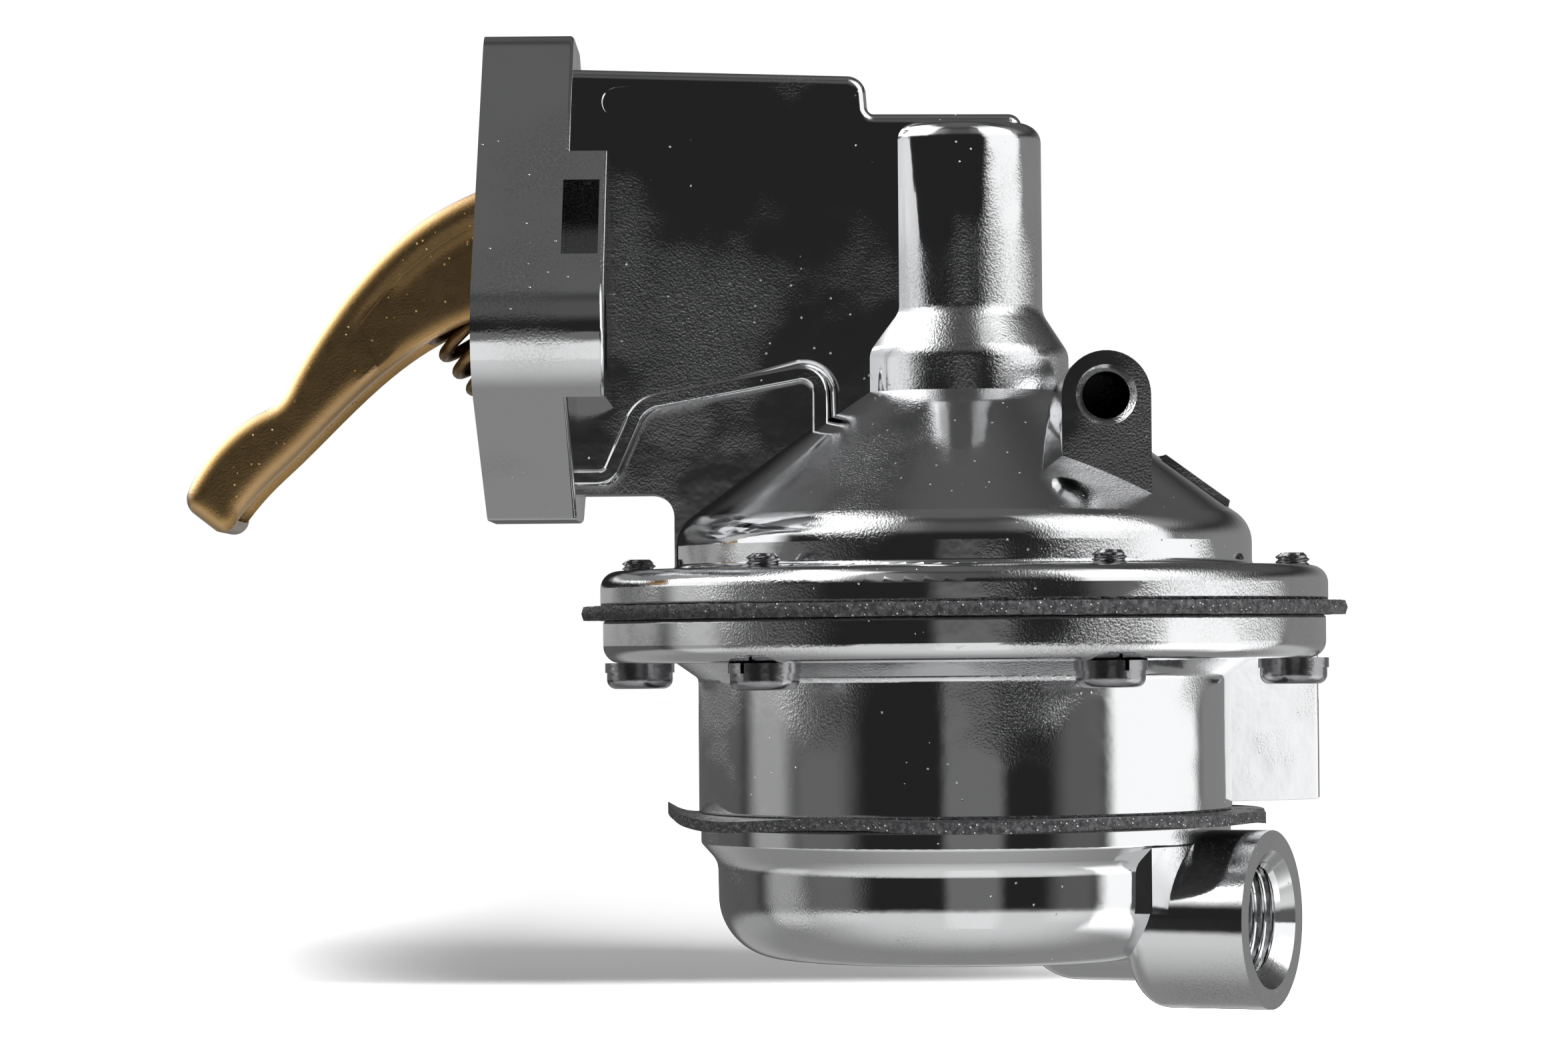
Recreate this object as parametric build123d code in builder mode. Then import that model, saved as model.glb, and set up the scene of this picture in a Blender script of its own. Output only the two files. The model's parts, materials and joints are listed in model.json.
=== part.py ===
from build123d import *
from math import cos, radians, sin, sqrt
import os

os.makedirs("parts", exist_ok=True)

# A mechanical fuel pump, bolted to the side of an engine. Millimetres.
# The origin is on the mounting face, halfway between the two bolt holes. The arm points
# along -X into the engine, +Z is up, and the pump's own axis is vertical at X = axis_x.
# Azimuths are turned about the pump's axis from +X towards +Y.
axis_x = 65.3
running_gap = 0.05
side_gap = 0.3

# Mounting flange: a lozenge with an ear and a bolt hole on each side
flange_thickness = 12.3
bolt_spacing = 76.2
bolt_hole_r = 4.9
ear_r = 9.2
flange_top = 42.9
flange_top_half = 8.0
flange_top_r = 8.0
flange_bottom = -23.7
flange_bottom_half = 10.0
flange_bottom_r = 6.0
rim_edge_r = 0.6
ear_pad_thickness = 17.3
ear_pad_top = 25.2
ear_pad_bottom = -8.4
pocket_front = 11.6
pocket_wall = 0.9
pocket_bottom = 10.4
pocket_top = 21.0
pocket_depth = 4.5

# Lever housing: a narrow box from the flange to the tower, a little wider at the flange
housing_half_at_tower = 7.5
housing_half_at_flange = 10.6
housing_wall = 1.7
housing_top_at_flange = 38.3
housing_top_at_step = 37.2
step_x = 52.1
step_z = 32.0
housing_end_past_axis = 8.45
housing_edge_r = 1.4
lip_left_x = 17.6
lip_left_z = -19.05
lip_rise_x = 22.0
lip_rise_z = -9.0
lip_right_x = 46.7
lip_right_z = -2.2
web_half = 5.2
web_bottom = -20.1
bead_width = 2.2
bead_height = 0.6
flute_from_x = 16.0
flute_to_x = 48.0
flute_z = 33.6
flute_height = 3.6
flute_depth = 0.6

# Tower, collar, cone and upper clamp flange, turned about the pump's axis
tower_r = 11.35
tower_top = 30.9
tower_wall = 2.4
tower_roof = 2.6
tower_edge_r = 2.6
bell_top = 4.6
bell_bottom = -0.9
collar_r = 14.9
collar_bottom = -6.4
cone_base_r = 39.95
cone_base_z = -24.85
cone_wall = 3.0
clamp_margin = 4.85
clamp_top = -30.7
clamp_edge_r = 2.4
tower_floor_top = 2.6
tower_floor_bottom = -1.9
seal_bore_r = 8.9
seal_boss_wall = 3.0
seal_boss_bottom = -12.2

# Thin raised pad on the cone's right side
cone_pad_above_foot = 3.35
cone_pad_length = 8.8
cone_pad_height = 0.8
cone_pad_angle = 18.0
cone_pad_azimuth = -4.0

# Lug on the front of the cone, with a blind hole
lug_x = 18.54
lug_z = -7.9
lug_r = 6.0
lug_face_y = -25.0
lug_bottom = -24.0
lug_hole_r = 3.2
lug_hole_depth = 11.0
lug_chamfer = 0.9
lug_edge_r = 0.5

# Diaphragm: one sheet clamped between the flanges, its middle pushed down at rest
sheet_thickness = 2.0
sheet_top = -35.5
sheet_overhang = 2.65
chamber_wall = 3.05
sheet_flat_r = 26.5
stroke = 5.4

# Rocker arm: a pressed channel, open below, on a pivot pin inside the flange
pivot_x = 13.0
pivot_z = 15.5
pin_r = 3.2
pin_half = 14.0
pin_bore_half = 14.5
plug_thickness = 5.0
arm_half = 7.8
arm_wall = 1.8
arm_edge_r = 1.6
arm_toe_r = 2.6
arm_step = 0.35
arm_step_above = 4.2
hub_r = 6.8
arm_end_r = 9.2
arm_back_split = 12.0
arm_step_run = 12.0
arm_step_drop = 30.0
arm_pad_back = ((-42.1, -21.2), (-38.2, -13.8), (-30.6, -8.1))
arm_back = ((-26.9, -3.6), (-19.9, 7.3), (-9.2, 17.6), (4.0, 23.6))
arm_belly = ((-1.8, 4.0), (-11.8, -1.3), (-27.5, -15.7), (-34.6, -23.2))
arm_toe = ((-36.0, -24.8), (-37.6, -24.7))
arm_mouth = ((-20.0, -40.0), (-34.4, -23.4), (-38.2, -22.3))

# Link lever from the pivot to the pull rod
link_half = 3.2
link_depth = 5.2
fork_top = 10.5
fork_half = 5.6
fork_past_axis = 5.2
fork_slot_half = 3.4
fork_slack = 1.0

# Pull rod with its spring seat and diaphragm plates
rod_r = 3.0
stud_r = 2.5
seat_r = 7.9
seat_bottom = 10.9
seat_thickness = 1.4
plate_r = 25.0
plate_thickness = 1.5
plate_curl = 1.5
plate_rim_height = 3.0
plate_rim = 1.0
plate_rim_foot = 2.1
nut_flats = 8.0
nut_height = 2.4

# Springs: wire radius, mean coil radius and turns
tower_wire_r = 1.0
tower_coil_r = 6.4
tower_turns = 4
arm_wire_r = 0.83
arm_coil_r = 4.85
arm_spring_pitch = 3.1
arm_spring_tilt = 52.0
arm_spring_seat_x = 7.9
arm_spring_seat_z = -10.9
arm_spring_seat_gap = 0.15
arm_spring_ledge = 8.5
arm_spring_turns = 9.3

# Valve body: lower clamp flange, chamber dish, valve floor and two lower pockets
lower_clamp_margin = 4.5
lower_clamp_bottom = -43.4
neck_flare = 3.15
neck_bottom = -45.6
body_r = 36.85
body_bottom = -64.2
body_wall = 4.0
dish_wall = 3.85
floor_top = -48.0
floor_thickness = 4.5
divider_half = 2.5
hub_boss_r = 8.4

# Outlet block on the valve body and inlet boss on the cap, with the same pipe thread
thread_r = 7.65
thread_depth = 14.5
mouth_depth = 1.7
outlet_azimuth = 30.0
outlet_reach = 52.3
outlet_half = 12.0
outlet_bottom = -63.5
outlet_z = -53.9
outlet_edge_r = 1.3
outlet_passage_r = 4.2
inlet_azimuth = -25.2
inlet_reach = 44.8
inlet_z = -78.7
inlet_boss_r = 12.08
inlet_boss_length = 17.8
inlet_boss_edge_r = 3.6
inlet_passage_r = 5.4
inlet_passage_start = 20.0
runner_r = 8.5
runner_start = 9.0
runner_edge_r = 8.0
runner_end = 30.0

# Valves in the floor, two opening up from the inlet side and two opening down
valve_spacing_x = 26.0
valve_offset_y = 15.0
cage_r = 7.2
cage_wall = 1.0
cage_rim_r = 8.4
cage_rim = 0.8
cage_seat_r = 4.2
cage_seat = 1.0
cage_end = 1.0
cage_window_r = 1.6
cage_window_circle_r = 3.7
disc_r = 5.3
disc_thickness = 1.0
disc_travel = 1.5
valve_wire_r = 0.25
valve_coil_r = 2.6
valve_turns = 3
valve_spring_packed = 2.2

# Pulsator gasket and lower cap
gasket_thickness = 1.5
gasket_overhang = 4.65
cap_rim_inset = 0.25
cap_rim_depth = 2.6
cap_step = 2.3
cap_bottom = -84.2
cap_corner_r = 8.5
cap_wall = 3.0
cap_pad_inset = 0.2
cap_pad_half = 14.8
cap_pad_bottom = -77.3
cap_rib_half = 3.0
bolt_r = 3.0
bolt_head_flats = 10.0
bolt_head_height = 3.4
bolt_washer = 0.6
bolt_recess_r = 6.4
bolt_depth = 10.0

# Six screws that clamp the flanges round the diaphragm
screw_count = 6
screw_from_cone = 5.55
washer_from_neck = 0.65
screw_azimuth = -67.2
screw_r = 2.0
screw_end = -28.95
washer_r = 4.85
washer_thickness = 1.35
washer_split = 0.6
screw_tip_chamfer = 0.45
head_r = 4.6
head_height = 2.25
head_edge_r = 1.3

pump_axis = Axis((axis_x, 0, 0), (0, 0, 1))
turning_plane = Plane(origin=(axis_x, 0, 0), x_dir=(1, 0, 0), z_dir=(0, -1, 0))
sheet_bottom = sheet_top - sheet_thickness
floor_bottom = floor_top - floor_thickness
gasket_bottom = body_bottom - gasket_thickness
chamber_r = cone_base_r - chamber_wall
dish_r = body_r - dish_wall
neck_top_r = body_r + neck_flare
# the screws stand clear of the cone above them, and their washers of the neck below
screw_circle_r = max(cone_base_r + screw_from_cone, neck_top_r + washer_from_neck + washer_r)
clamp_r = screw_circle_r + clamp_margin
lower_clamp_r = screw_circle_r + lower_clamp_margin
sheet_r = clamp_r + sheet_overhang
cone_pad_to_r = cone_base_r - cone_pad_above_foot
cone_pad_from_r = cone_pad_to_r - cone_pad_length
gasket_r = body_r + gasket_overhang
cap_rim_r = body_r - cap_rim_inset
cap_r = cap_rim_r - cap_step
cap_pad_r = cap_rim_r - cap_pad_inset
cap_pocket_r = cap_r - cap_wall
taper = (housing_half_at_flange - housing_half_at_tower) / (axis_x - tower_r - flange_thickness)


def at_axis(z):
    """A level plane at height z, centred on the pump's axis."""
    return Plane(origin=(axis_x, 0, z))


def housing_half(x):
    """Half the lever housing's width at x."""
    return housing_half_at_flange - taper * (x - flange_thickness)


def port_plane(azimuth, reach, z):
    """A plane across a port, its normal pointing outwards along the azimuth."""
    out = Vector(cos(radians(azimuth)), sin(radians(azimuth)), 0)
    return Plane(origin=Vector(axis_x, 0, z) + out * reach, x_dir=(0, 0, 1), z_dir=out)


# Outline of the mounting flange, seen along X
with BuildSketch(Plane.YZ) as flange_outline:
    with Locations((-bolt_spacing / 2, 0), (bolt_spacing / 2, 0)):
        Circle(ear_r)
    with Locations((-flange_top_half, flange_top - flange_top_r), (flange_top_half, flange_top - flange_top_r)):
        Circle(flange_top_r)
    with Locations(
        (-flange_bottom_half, flange_bottom + flange_bottom_r), (flange_bottom_half, flange_bottom + flange_bottom_r)
    ):
        Circle(flange_bottom_r)
    make_hull()

with BuildSketch(Plane.YZ) as flange_core:
    offset(flange_outline.sketch_local, amount=-pocket_depth)

# The flange plate with a thicker pad across both ears
with BuildPart() as flange_plate:
    extrude(flange_outline.sketch, amount=flange_thickness)
    fillet(flange_plate.faces().sort_by(Axis.X)[-1].edges(), rim_edge_r)

with BuildPart() as ear_pads:
    extrude(flange_outline.sketch, amount=ear_pad_thickness)
    fillet(ear_pads.faces().sort_by(Axis.X)[-1].edges(), rim_edge_r)
    with BuildSketch(Plane.YZ) as pad_band:
        with Locations((0, (ear_pad_top + ear_pad_bottom) / 2)):
            Rectangle(2 * (bolt_spacing + ear_r), ear_pad_top - ear_pad_bottom)
    extrude(pad_band.sketch, amount=ear_pad_thickness, mode=Mode.INTERSECT)

# Wide part of the lever housing, with the lip that steps down to the narrow web
with BuildSketch(Plane.XZ) as housing_side:
    with BuildLine():
        FilletPolyline(
            (flange_thickness / 2, housing_top_at_flange),
            (step_x, housing_top_at_step),
            (step_x + 0.4, step_z),
            (axis_x + housing_end_past_axis, step_z),
            (axis_x + housing_end_past_axis, collar_bottom / 2),
            (axis_x, collar_bottom - 3),
            (lip_right_x + 4, lip_right_z - 11),
            (lip_right_x + 0.3, lip_right_z - 11),
            (lip_right_x, lip_right_z),
            (lip_rise_x, lip_rise_z),
            (lip_left_x, lip_left_z),
            (flange_thickness / 2, lip_left_z),
            radius=(0, 2.6, 0.9, 1.8, 0, 0, 0, 0, 3.5, 4.0, 3.0, 0),
            close=True,
        )
    make_face()

with BuildSketch(Plane.XY) as housing_plan:
    with BuildLine():
        Polyline(
            (0, housing_half(0)),
            (axis_x + housing_end_past_axis, housing_half(axis_x + housing_end_past_axis)),
            (axis_x + housing_end_past_axis, -housing_half(axis_x + housing_end_past_axis)),
            (0, -housing_half(0)),
            close=True,
        )
    make_face()

with BuildPart() as housing_block:
    extrude(housing_side.sketch, amount=2 * housing_half_at_flange, both=True)
    extrude(housing_plan.sketch, amount=2 * flange_top, both=True, mode=Mode.INTERSECT)
    side_faces = housing_block.faces().filter_by(lambda face: abs(face.normal_at().Y) > 0.9)
    fillet(side_faces.edges(), housing_edge_r)

# Bead that follows the housing's lower lip
with BuildSketch(Plane.XZ) as lip_line:
    with BuildLine():
        FilletPolyline(
            (flange_thickness / 2, lip_left_z + bead_width / 2),
            (lip_left_x - bead_width / 2, lip_left_z + bead_width / 2),
            (lip_rise_x - bead_width / 2, lip_rise_z + bead_width / 2),
            (lip_right_x - bead_width / 2, lip_right_z - bead_width / 2),
            (lip_right_x - bead_width / 2, lip_right_z - 11),
            radius=(2.0, 4.6, 2.6),
        )
    trace(line_width=bead_width)

with BuildSketch(Plane.XY) as bead_plan:
    offset(housing_plan.sketch, amount=bead_height, kind=Kind.INTERSECTION)

with BuildPart() as lip_bead:
    extrude(lip_line.sketch, amount=2 * housing_half_at_flange, both=True)
    extrude(bead_plan.sketch, amount=2 * flange_top, both=True, mode=Mode.INTERSECT)
    bead_faces = lip_bead.faces().filter_by(lambda face: abs(face.normal_at().Y) > 0.9)
    fillet(bead_faces.edges(), bead_height * 0.8)

# Shallow flute on each flank of the housing, below its top edge
with BuildPart() as flutes:
    for side in (-1, 1):
        flank = Plane(
            origin=(flute_from_x, side * housing_half(flute_from_x), flute_z),
            x_dir=(1, -side * taper, 0), z_dir=(side * taper, side, 0),
        )
        with BuildSketch(flank):
            with Locations(((flute_to_x - flute_from_x) / 2, 0)):
                SlotOverall(flute_to_x - flute_from_x, flute_height)
        extrude(amount=flute_depth, both=True, taper=-35)

# Narrow web between the housing and the cone
with BuildSketch(Plane.XZ) as web_side:
    with BuildLine():
        FilletPolyline(
            (flange_thickness / 2, web_bottom),
            (axis_x - cone_base_r + 0.05, web_bottom),
            (axis_x - cone_base_r + 0.05, clamp_top),
            (axis_x - collar_r, clamp_top),
            (axis_x - collar_r, collar_bottom),
            (lip_right_x, lip_right_z + 1),
            (lip_rise_x, lip_rise_z + 3),
            (flange_thickness / 2, lip_left_z + 4),
            radius=(0, 3.2, 0, 0, 0, 0, 0, 0),
            close=True,
        )
    make_face()

# Everything turned about the pump's axis: tower, bell, collar, cone and clamp flange
with BuildPart() as turned_shell:
    with BuildSketch(turning_plane):
        with BuildLine():
            FilletPolyline(
                (0, tower_top),
                (tower_r, tower_top),
                (tower_r, bell_top),
                (collar_r, bell_bottom),
                (collar_r, collar_bottom),
                (cone_base_r, cone_base_z),
                (cone_base_r, clamp_top),
                (clamp_r, clamp_top),
                (clamp_r, sheet_top),
                (0, sheet_top),
                radius=(0, tower_edge_r, 3.0, 3.2, 0, 5.0, 0.8, clamp_edge_r, 0.4, 0),
                close=True,
            )
        make_face()
    revolve(axis=pump_axis)

# Thin pad on the cone's slope
cone_slope = (collar_bottom - cone_base_z) / (cone_base_r - collar_r)
pad_low = collar_bottom - cone_slope * (cone_pad_to_r - collar_r)
pad_high = collar_bottom - cone_slope * (cone_pad_from_r - collar_r)
pad_turn = Plane(
    origin=(axis_x, 0, 0),
    x_dir=(cos(radians(cone_pad_azimuth)), sin(radians(cone_pad_azimuth)), 0),
    z_dir=(sin(radians(cone_pad_azimuth)), -cos(radians(cone_pad_azimuth)), 0),
)
with BuildPart() as cone_pad:
    with BuildSketch(pad_turn):
        with BuildLine():
            Polyline(
                (cone_pad_from_r, pad_high - 1), (cone_pad_from_r + 0.4, pad_high + cone_pad_height),
                (cone_pad_to_r + 0.4, pad_low + cone_pad_height), (cone_pad_to_r, pad_low - 1), close=True,
            )
        make_face()
    revolve(axis=pump_axis, revolution_arc=cone_pad_angle)

# The hollow under the cone, with the boss that holds the rod's seal
cone_drop = cone_wall * sqrt(1 + cone_slope**2)
seal_boss_r = seal_bore_r + seal_boss_wall
with BuildPart() as cone_hollow:
    with BuildSketch(turning_plane):
        with BuildLine():
            FilletPolyline(
                (0, seal_boss_bottom),
                (seal_boss_r, seal_boss_bottom),
                (seal_boss_r, collar_bottom - cone_drop),
                (collar_r, collar_bottom - cone_drop),
                (chamber_r, collar_bottom - cone_drop - cone_slope * (chamber_r - collar_r)),
                (chamber_r, sheet_top),
                (0, sheet_top),
                radius=(0, 0.5, 0.5, 1.0, 3.0, 0, 0),
                close=True,
            )
        make_face()
    revolve(axis=pump_axis)

# The lever chamber, open at the mounting face, with the sloping seat of the arm's spring
spring_out = Vector(-cos(radians(arm_spring_tilt)), 0, sin(radians(arm_spring_tilt)))
spring_seat = Vector(arm_spring_seat_x, 0, arm_spring_seat_z)
seat_slope = cos(radians(arm_spring_tilt)) / sin(radians(arm_spring_tilt))
opening_top = 27.5
opening_bottom = arm_spring_seat_z - seat_slope * (arm_spring_seat_x + 1)
seat_high_x = arm_spring_seat_x + arm_spring_ledge * sin(radians(arm_spring_tilt))
seat_high_z = arm_spring_seat_z + arm_spring_ledge * cos(radians(arm_spring_tilt))
with BuildPart() as lever_chamber:
    with BuildSketch(Plane.XZ) as chamber_side:
        with BuildLine():
            FilletPolyline(
                (-1, opening_top),
                (flange_thickness - 4, opening_top),
                (flange_thickness + 4, housing_top_at_flange - 1.4 * housing_wall),
                (step_x - housing_wall, housing_top_at_step - housing_wall),
                (step_x - housing_wall, step_z - 2 * housing_wall),
                (axis_x, step_z - 2 * housing_wall),
                (axis_x, tower_floor_top),
                (lip_right_x, lip_right_z + 1.3 * housing_wall),
                (lip_rise_x + 2, lip_rise_z + 1.6 * housing_wall),
                (seat_high_x, seat_high_z),
                (-1, opening_bottom),
                radius=(0, 3, 3, 1, 1, 0, 0, 2, 2, 0.5, 0),
                close=True,
            )
        make_face()
    extrude(chamber_side.sketch, amount=2 * housing_half_at_flange, both=True)
    with BuildSketch(Plane.XY) as chamber_plan:
        offset(housing_plan.sketch, amount=-housing_wall, kind=Kind.INTERSECTION)
        with Locations((0, 0)):
            Rectangle(4 * housing_wall, 2 * (housing_half(0) - housing_wall))
    extrude(chamber_plan.sketch, amount=2 * flange_top, both=True, mode=Mode.INTERSECT)

# The upper body is one casting
with BuildPart() as upper_body:
    add(turned_shell.part)
    add(flange_plate.part)
    add(ear_pads.part)
    add(housing_block.part)
    add(lip_bead.part)
    extrude(web_side.sketch, amount=web_half, both=True)
    add(cone_pad.part)
    add(flutes.part, mode=Mode.SUBTRACT)
    # the lug: a round-topped boss that stands forward from the cone
    with BuildSketch(Plane.XZ.offset(-lug_face_y)) as lug_face:
        with Locations((axis_x + lug_x, lug_z)):
            Circle(lug_r)
        with Locations((axis_x + lug_x, (lug_z + lug_bottom) / 2)):
            Rectangle(2 * lug_r, lug_z - lug_bottom)
    extrude(lug_face.sketch, amount=lug_face_y + collar_r / 2)
    add(cone_hollow.part, mode=Mode.SUBTRACT)
    add(lever_chamber.part, mode=Mode.SUBTRACT)
    # spring chamber in the tower, rod hole, and seal bore from below
    with BuildSketch(at_axis(tower_floor_top)) as spring_chamber:
        Circle(tower_r - tower_wall)
    extrude(spring_chamber.sketch, amount=tower_top - tower_roof - tower_floor_top, mode=Mode.SUBTRACT)
    with BuildSketch(at_axis(seal_boss_bottom)) as seal_bore:
        Circle(seal_bore_r)
    extrude(seal_bore.sketch, amount=tower_floor_bottom - seal_boss_bottom, mode=Mode.SUBTRACT)
    with BuildSketch(at_axis(tower_floor_bottom)) as rod_hole:
        Circle(rod_r + side_gap)
    extrude(rod_hole.sketch, amount=tower_floor_top - tower_floor_bottom, mode=Mode.SUBTRACT)
    # bolt holes through the ears
    with BuildSketch(Plane.YZ) as bolt_holes:
        with Locations((-bolt_spacing / 2, 0), (bolt_spacing / 2, 0)):
            Circle(bolt_hole_r)
    extrude(bolt_holes.sketch, amount=ear_pad_thickness, mode=Mode.SUBTRACT)
    # pockets in the rim at the ends of the pivot
    with BuildSketch(Plane.YZ.offset(pocket_front)) as rim_pockets:
        with Locations((0, (pocket_top + pocket_bottom) / 2)):
            Rectangle(2 * bolt_spacing, pocket_top - pocket_bottom)
        add(flange_core.sketch_local, mode=Mode.SUBTRACT)
    extrude(rim_pockets.sketch, amount=ear_pad_thickness - pocket_wall - pocket_front, mode=Mode.SUBTRACT)
    # pivot bore, drilled from the far side's pocket and closed by a plug
    with BuildSketch(Plane.XZ.offset(pin_bore_half)) as pivot_bore:
        with Locations((pivot_x, pivot_z)):
            Circle(pin_r)
    extrude(pivot_bore.sketch, amount=-2 * bolt_spacing, mode=Mode.SUBTRACT)
    # lug hole
    with BuildSketch(Plane.XZ.offset(-lug_face_y)) as lug_hole:
        with Locations((axis_x + lug_x, lug_z)):
            Circle(lug_hole_r)
    extrude(lug_hole.sketch, amount=-lug_hole_depth, mode=Mode.SUBTRACT)
    # tapped holes for the clamp screws
    with BuildSketch(at_axis(sheet_top)) as tapped_holes:
        with PolarLocations(screw_circle_r, screw_count, start_angle=screw_azimuth):
            Circle(screw_r + running_gap)
    extrude(tapped_holes.sketch, amount=clamp_top - sheet_top, mode=Mode.SUBTRACT)
    lug_mouth = upper_body.edges().filter_by(GeomType.CIRCLE).filter_by(
        lambda edge: abs(edge.radius - lug_hole_r) < 1e-3
    ).sort_by(Axis.Y)[0]
    chamfer(lug_mouth, lug_chamfer)
upper_body.part.label = "upper_body"
export_step(upper_body.part, "parts/upper_body.step")

# Pivot pin and the plug that closes its bore
with BuildPart() as pivot_pin:
    with BuildSketch(Plane.XZ.offset(pin_half)):
        with Locations((pivot_x, pivot_z)):
            Circle(pin_r)
    extrude(amount=-2 * pin_half)
    chamfer(pivot_pin.edges().filter_by(GeomType.CIRCLE), 0.5)
pivot_pin.part.label = "pivot_pin"
export_step(pivot_pin.part, "parts/pivot_pin.step")

with BuildPart() as pivot_plug:
    with BuildSketch(Plane.XZ.offset(-pin_bore_half)):
        with Locations((pivot_x, pivot_z)):
            Circle(pin_r)
    extrude(amount=-plug_thickness)
pivot_plug.part.label = "pivot_plug"
export_step(pivot_plug.part, "parts/pivot_plug.step")

# Rocker arm: side outline with its curved back, humped cam pad and straight belly
with BuildSketch(Plane.XZ) as arm_side:
    with BuildLine():
        pad_back = ThreePointArc(*arm_pad_back)
        back = Spline(
            arm_pad_back[-1], *arm_back, (pivot_x, pivot_z + arm_end_r), tangents=(pad_back % 1, (1, 0)),
        )
        end = ThreePointArc(back @ 1, (pivot_x + arm_end_r, pivot_z), (pivot_x, pivot_z - arm_end_r))
        belly = Spline(end @ 1, *arm_belly, tangents=((-1, 0), (-0.6, -0.8)))
        toe = ThreePointArc(belly @ 1, *arm_toe)
        Line(toe @ 1, pad_back @ 0)
    make_face()
    fillet(arm_side.vertices().sort_by(Axis.X)[0], arm_toe_r)

with BuildPart() as rocker_arm:
    extrude(arm_side.sketch, amount=arm_half, both=True)
    # the channel's inside, one wall below the back and open along the belly
    inner_back = [
        curve @ t + Vector((curve % t).Y, -(curve % t).X) * arm_wall
        for curve, steps in ((pad_back, (0.25, 0.5, 0.75)), (back, (0, 0.2, 0.4, 0.6, 0.8, 1)))
        for t in steps
    ]
    with BuildSketch(Plane.XZ) as arm_inside:
        with BuildLine():
            inner = Spline(*inner_back)
            Polyline(
                inner @ 1, (pivot_x + 2 * arm_end_r, pivot_z + arm_end_r - arm_wall),
                (pivot_x + 2 * arm_end_r, -2 * arm_end_r), *arm_mouth, inner @ 0,
            )
        make_face()
    extrude(arm_inside.sketch, amount=arm_half - arm_wall, both=True, mode=Mode.SUBTRACT)
    back_edges = rocker_arm.edges().filter_by(
        lambda edge: abs(abs(edge.center().Y) - arm_half) < 1e-3
        and edge.center().Z > edge.center().X * 0.9 + arm_back_split
    )
    fillet(back_edges, arm_edge_r)
    # the flanks are pressed in slightly below a soft line under the back
    step_line = [
        back @ t + Vector((back % t).Y, -(back % t).X) * arm_step_above for t in (0.3, 0.45, 0.6, 0.72)
    ]
    with BuildSketch(Plane.XZ) as flank_step:
        with BuildLine():
            upper = Spline(*step_line)
            Polyline(
                upper @ 1, upper @ 1 - Vector(0, arm_step_drop), upper @ 0 + Vector(arm_step_run, -arm_step_drop),
                upper @ 0,
            )
        make_face()
    for side in (-1, 1):
        flank = Plane.XZ.offset(side * (arm_half - arm_step))
        extrude(flank * flank_step.sketch_local, amount=side * arm_half, mode=Mode.SUBTRACT)
    with BuildSketch(Plane.XZ) as arm_bore:
        with Locations((pivot_x, pivot_z)):
            Circle(pin_r + running_gap)
    extrude(arm_bore.sketch, amount=arm_half, both=True, mode=Mode.SUBTRACT)
rocker_arm.part.label = "rocker_arm"
export_step(rocker_arm.part, "parts/rocker_arm.step")

# Link lever: hub on the pivot pin, tapering beam, and a crowned fork astride the pull rod
fork_end = axis_x + fork_past_axis
with BuildPart() as link_lever:
    with BuildSketch(Plane.XZ) as link_side:
        with BuildLine():
            crown = ThreePointArc(
                (fork_end, fork_top - 1.2), (axis_x, fork_top), (axis_x - fork_past_axis - 2, fork_top - 1.2)
            )
            Line(crown @ 1, (pivot_x + hub_r / 2, pivot_z + hub_r * 0.8))
            Line((pivot_x + hub_r / 2, pivot_z + hub_r * 0.8), (pivot_x, pivot_z - hub_r))
            Line((pivot_x, pivot_z - hub_r), (axis_x - fork_past_axis, fork_top - link_depth))
            Line((axis_x - fork_past_axis, fork_top - link_depth), (fork_end, fork_top - link_depth + 1))
            Line((fork_end, fork_top - link_depth + 1), crown @ 0)
        make_face()
    extrude(link_side.sketch, amount=link_half, both=True)
    with BuildSketch(Plane.XZ) as fork_band:
        with Locations((axis_x, fork_top - link_depth / 2)):
            Rectangle(2 * fork_past_axis, 2 * link_depth)
    fork_block = extrude(link_side.sketch, amount=fork_half, both=True, mode=Mode.PRIVATE)
    fork_zone = extrude(fork_band.sketch, amount=fork_half, both=True, mode=Mode.PRIVATE)
    add(fork_block & fork_zone)
    with BuildSketch(Plane.XZ) as link_hub:
        with Locations((pivot_x, pivot_z)):
            Circle(hub_r)
    extrude(link_hub.sketch, amount=arm_half - arm_wall - side_gap, both=True)
    with BuildSketch(Plane.XY) as fork_slot:
        with Locations((axis_x - fork_slack, 0)):
            Circle(fork_slot_half)
        with Locations((axis_x + fork_past_axis - fork_slack, 0)):
            Rectangle(2 * fork_past_axis, 2 * fork_slot_half)
    extrude(fork_slot.sketch, amount=2 * fork_top, mode=Mode.SUBTRACT)
    with BuildSketch(Plane.XZ) as link_bore:
        with Locations((pivot_x, pivot_z)):
            Circle(pin_r + running_gap)
    extrude(link_bore.sketch, amount=arm_half, both=True, mode=Mode.SUBTRACT)
link_lever.part.label = "link_lever"
export_step(link_lever.part, "parts/link_lever.step")

# Arm return spring, from its seat in the flange to the inside of the arm
with BuildPart() as arm_return_spring:
    with BuildLine() as arm_helix:
        Helix(
            arm_spring_pitch, arm_spring_pitch * arm_spring_turns, arm_coil_r,
            center=spring_seat + spring_out * (arm_wire_r + arm_spring_seat_gap), direction=spring_out,
        )
    with BuildSketch(Plane(origin=arm_helix.line @ 0, z_dir=arm_helix.line % 0)):
        Circle(arm_wire_r)
    sweep(path=arm_helix.line, is_frenet=True)
arm_return_spring.part.label = "arm_return_spring"
export_step(arm_return_spring.part, "parts/arm_return_spring.step")

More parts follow.
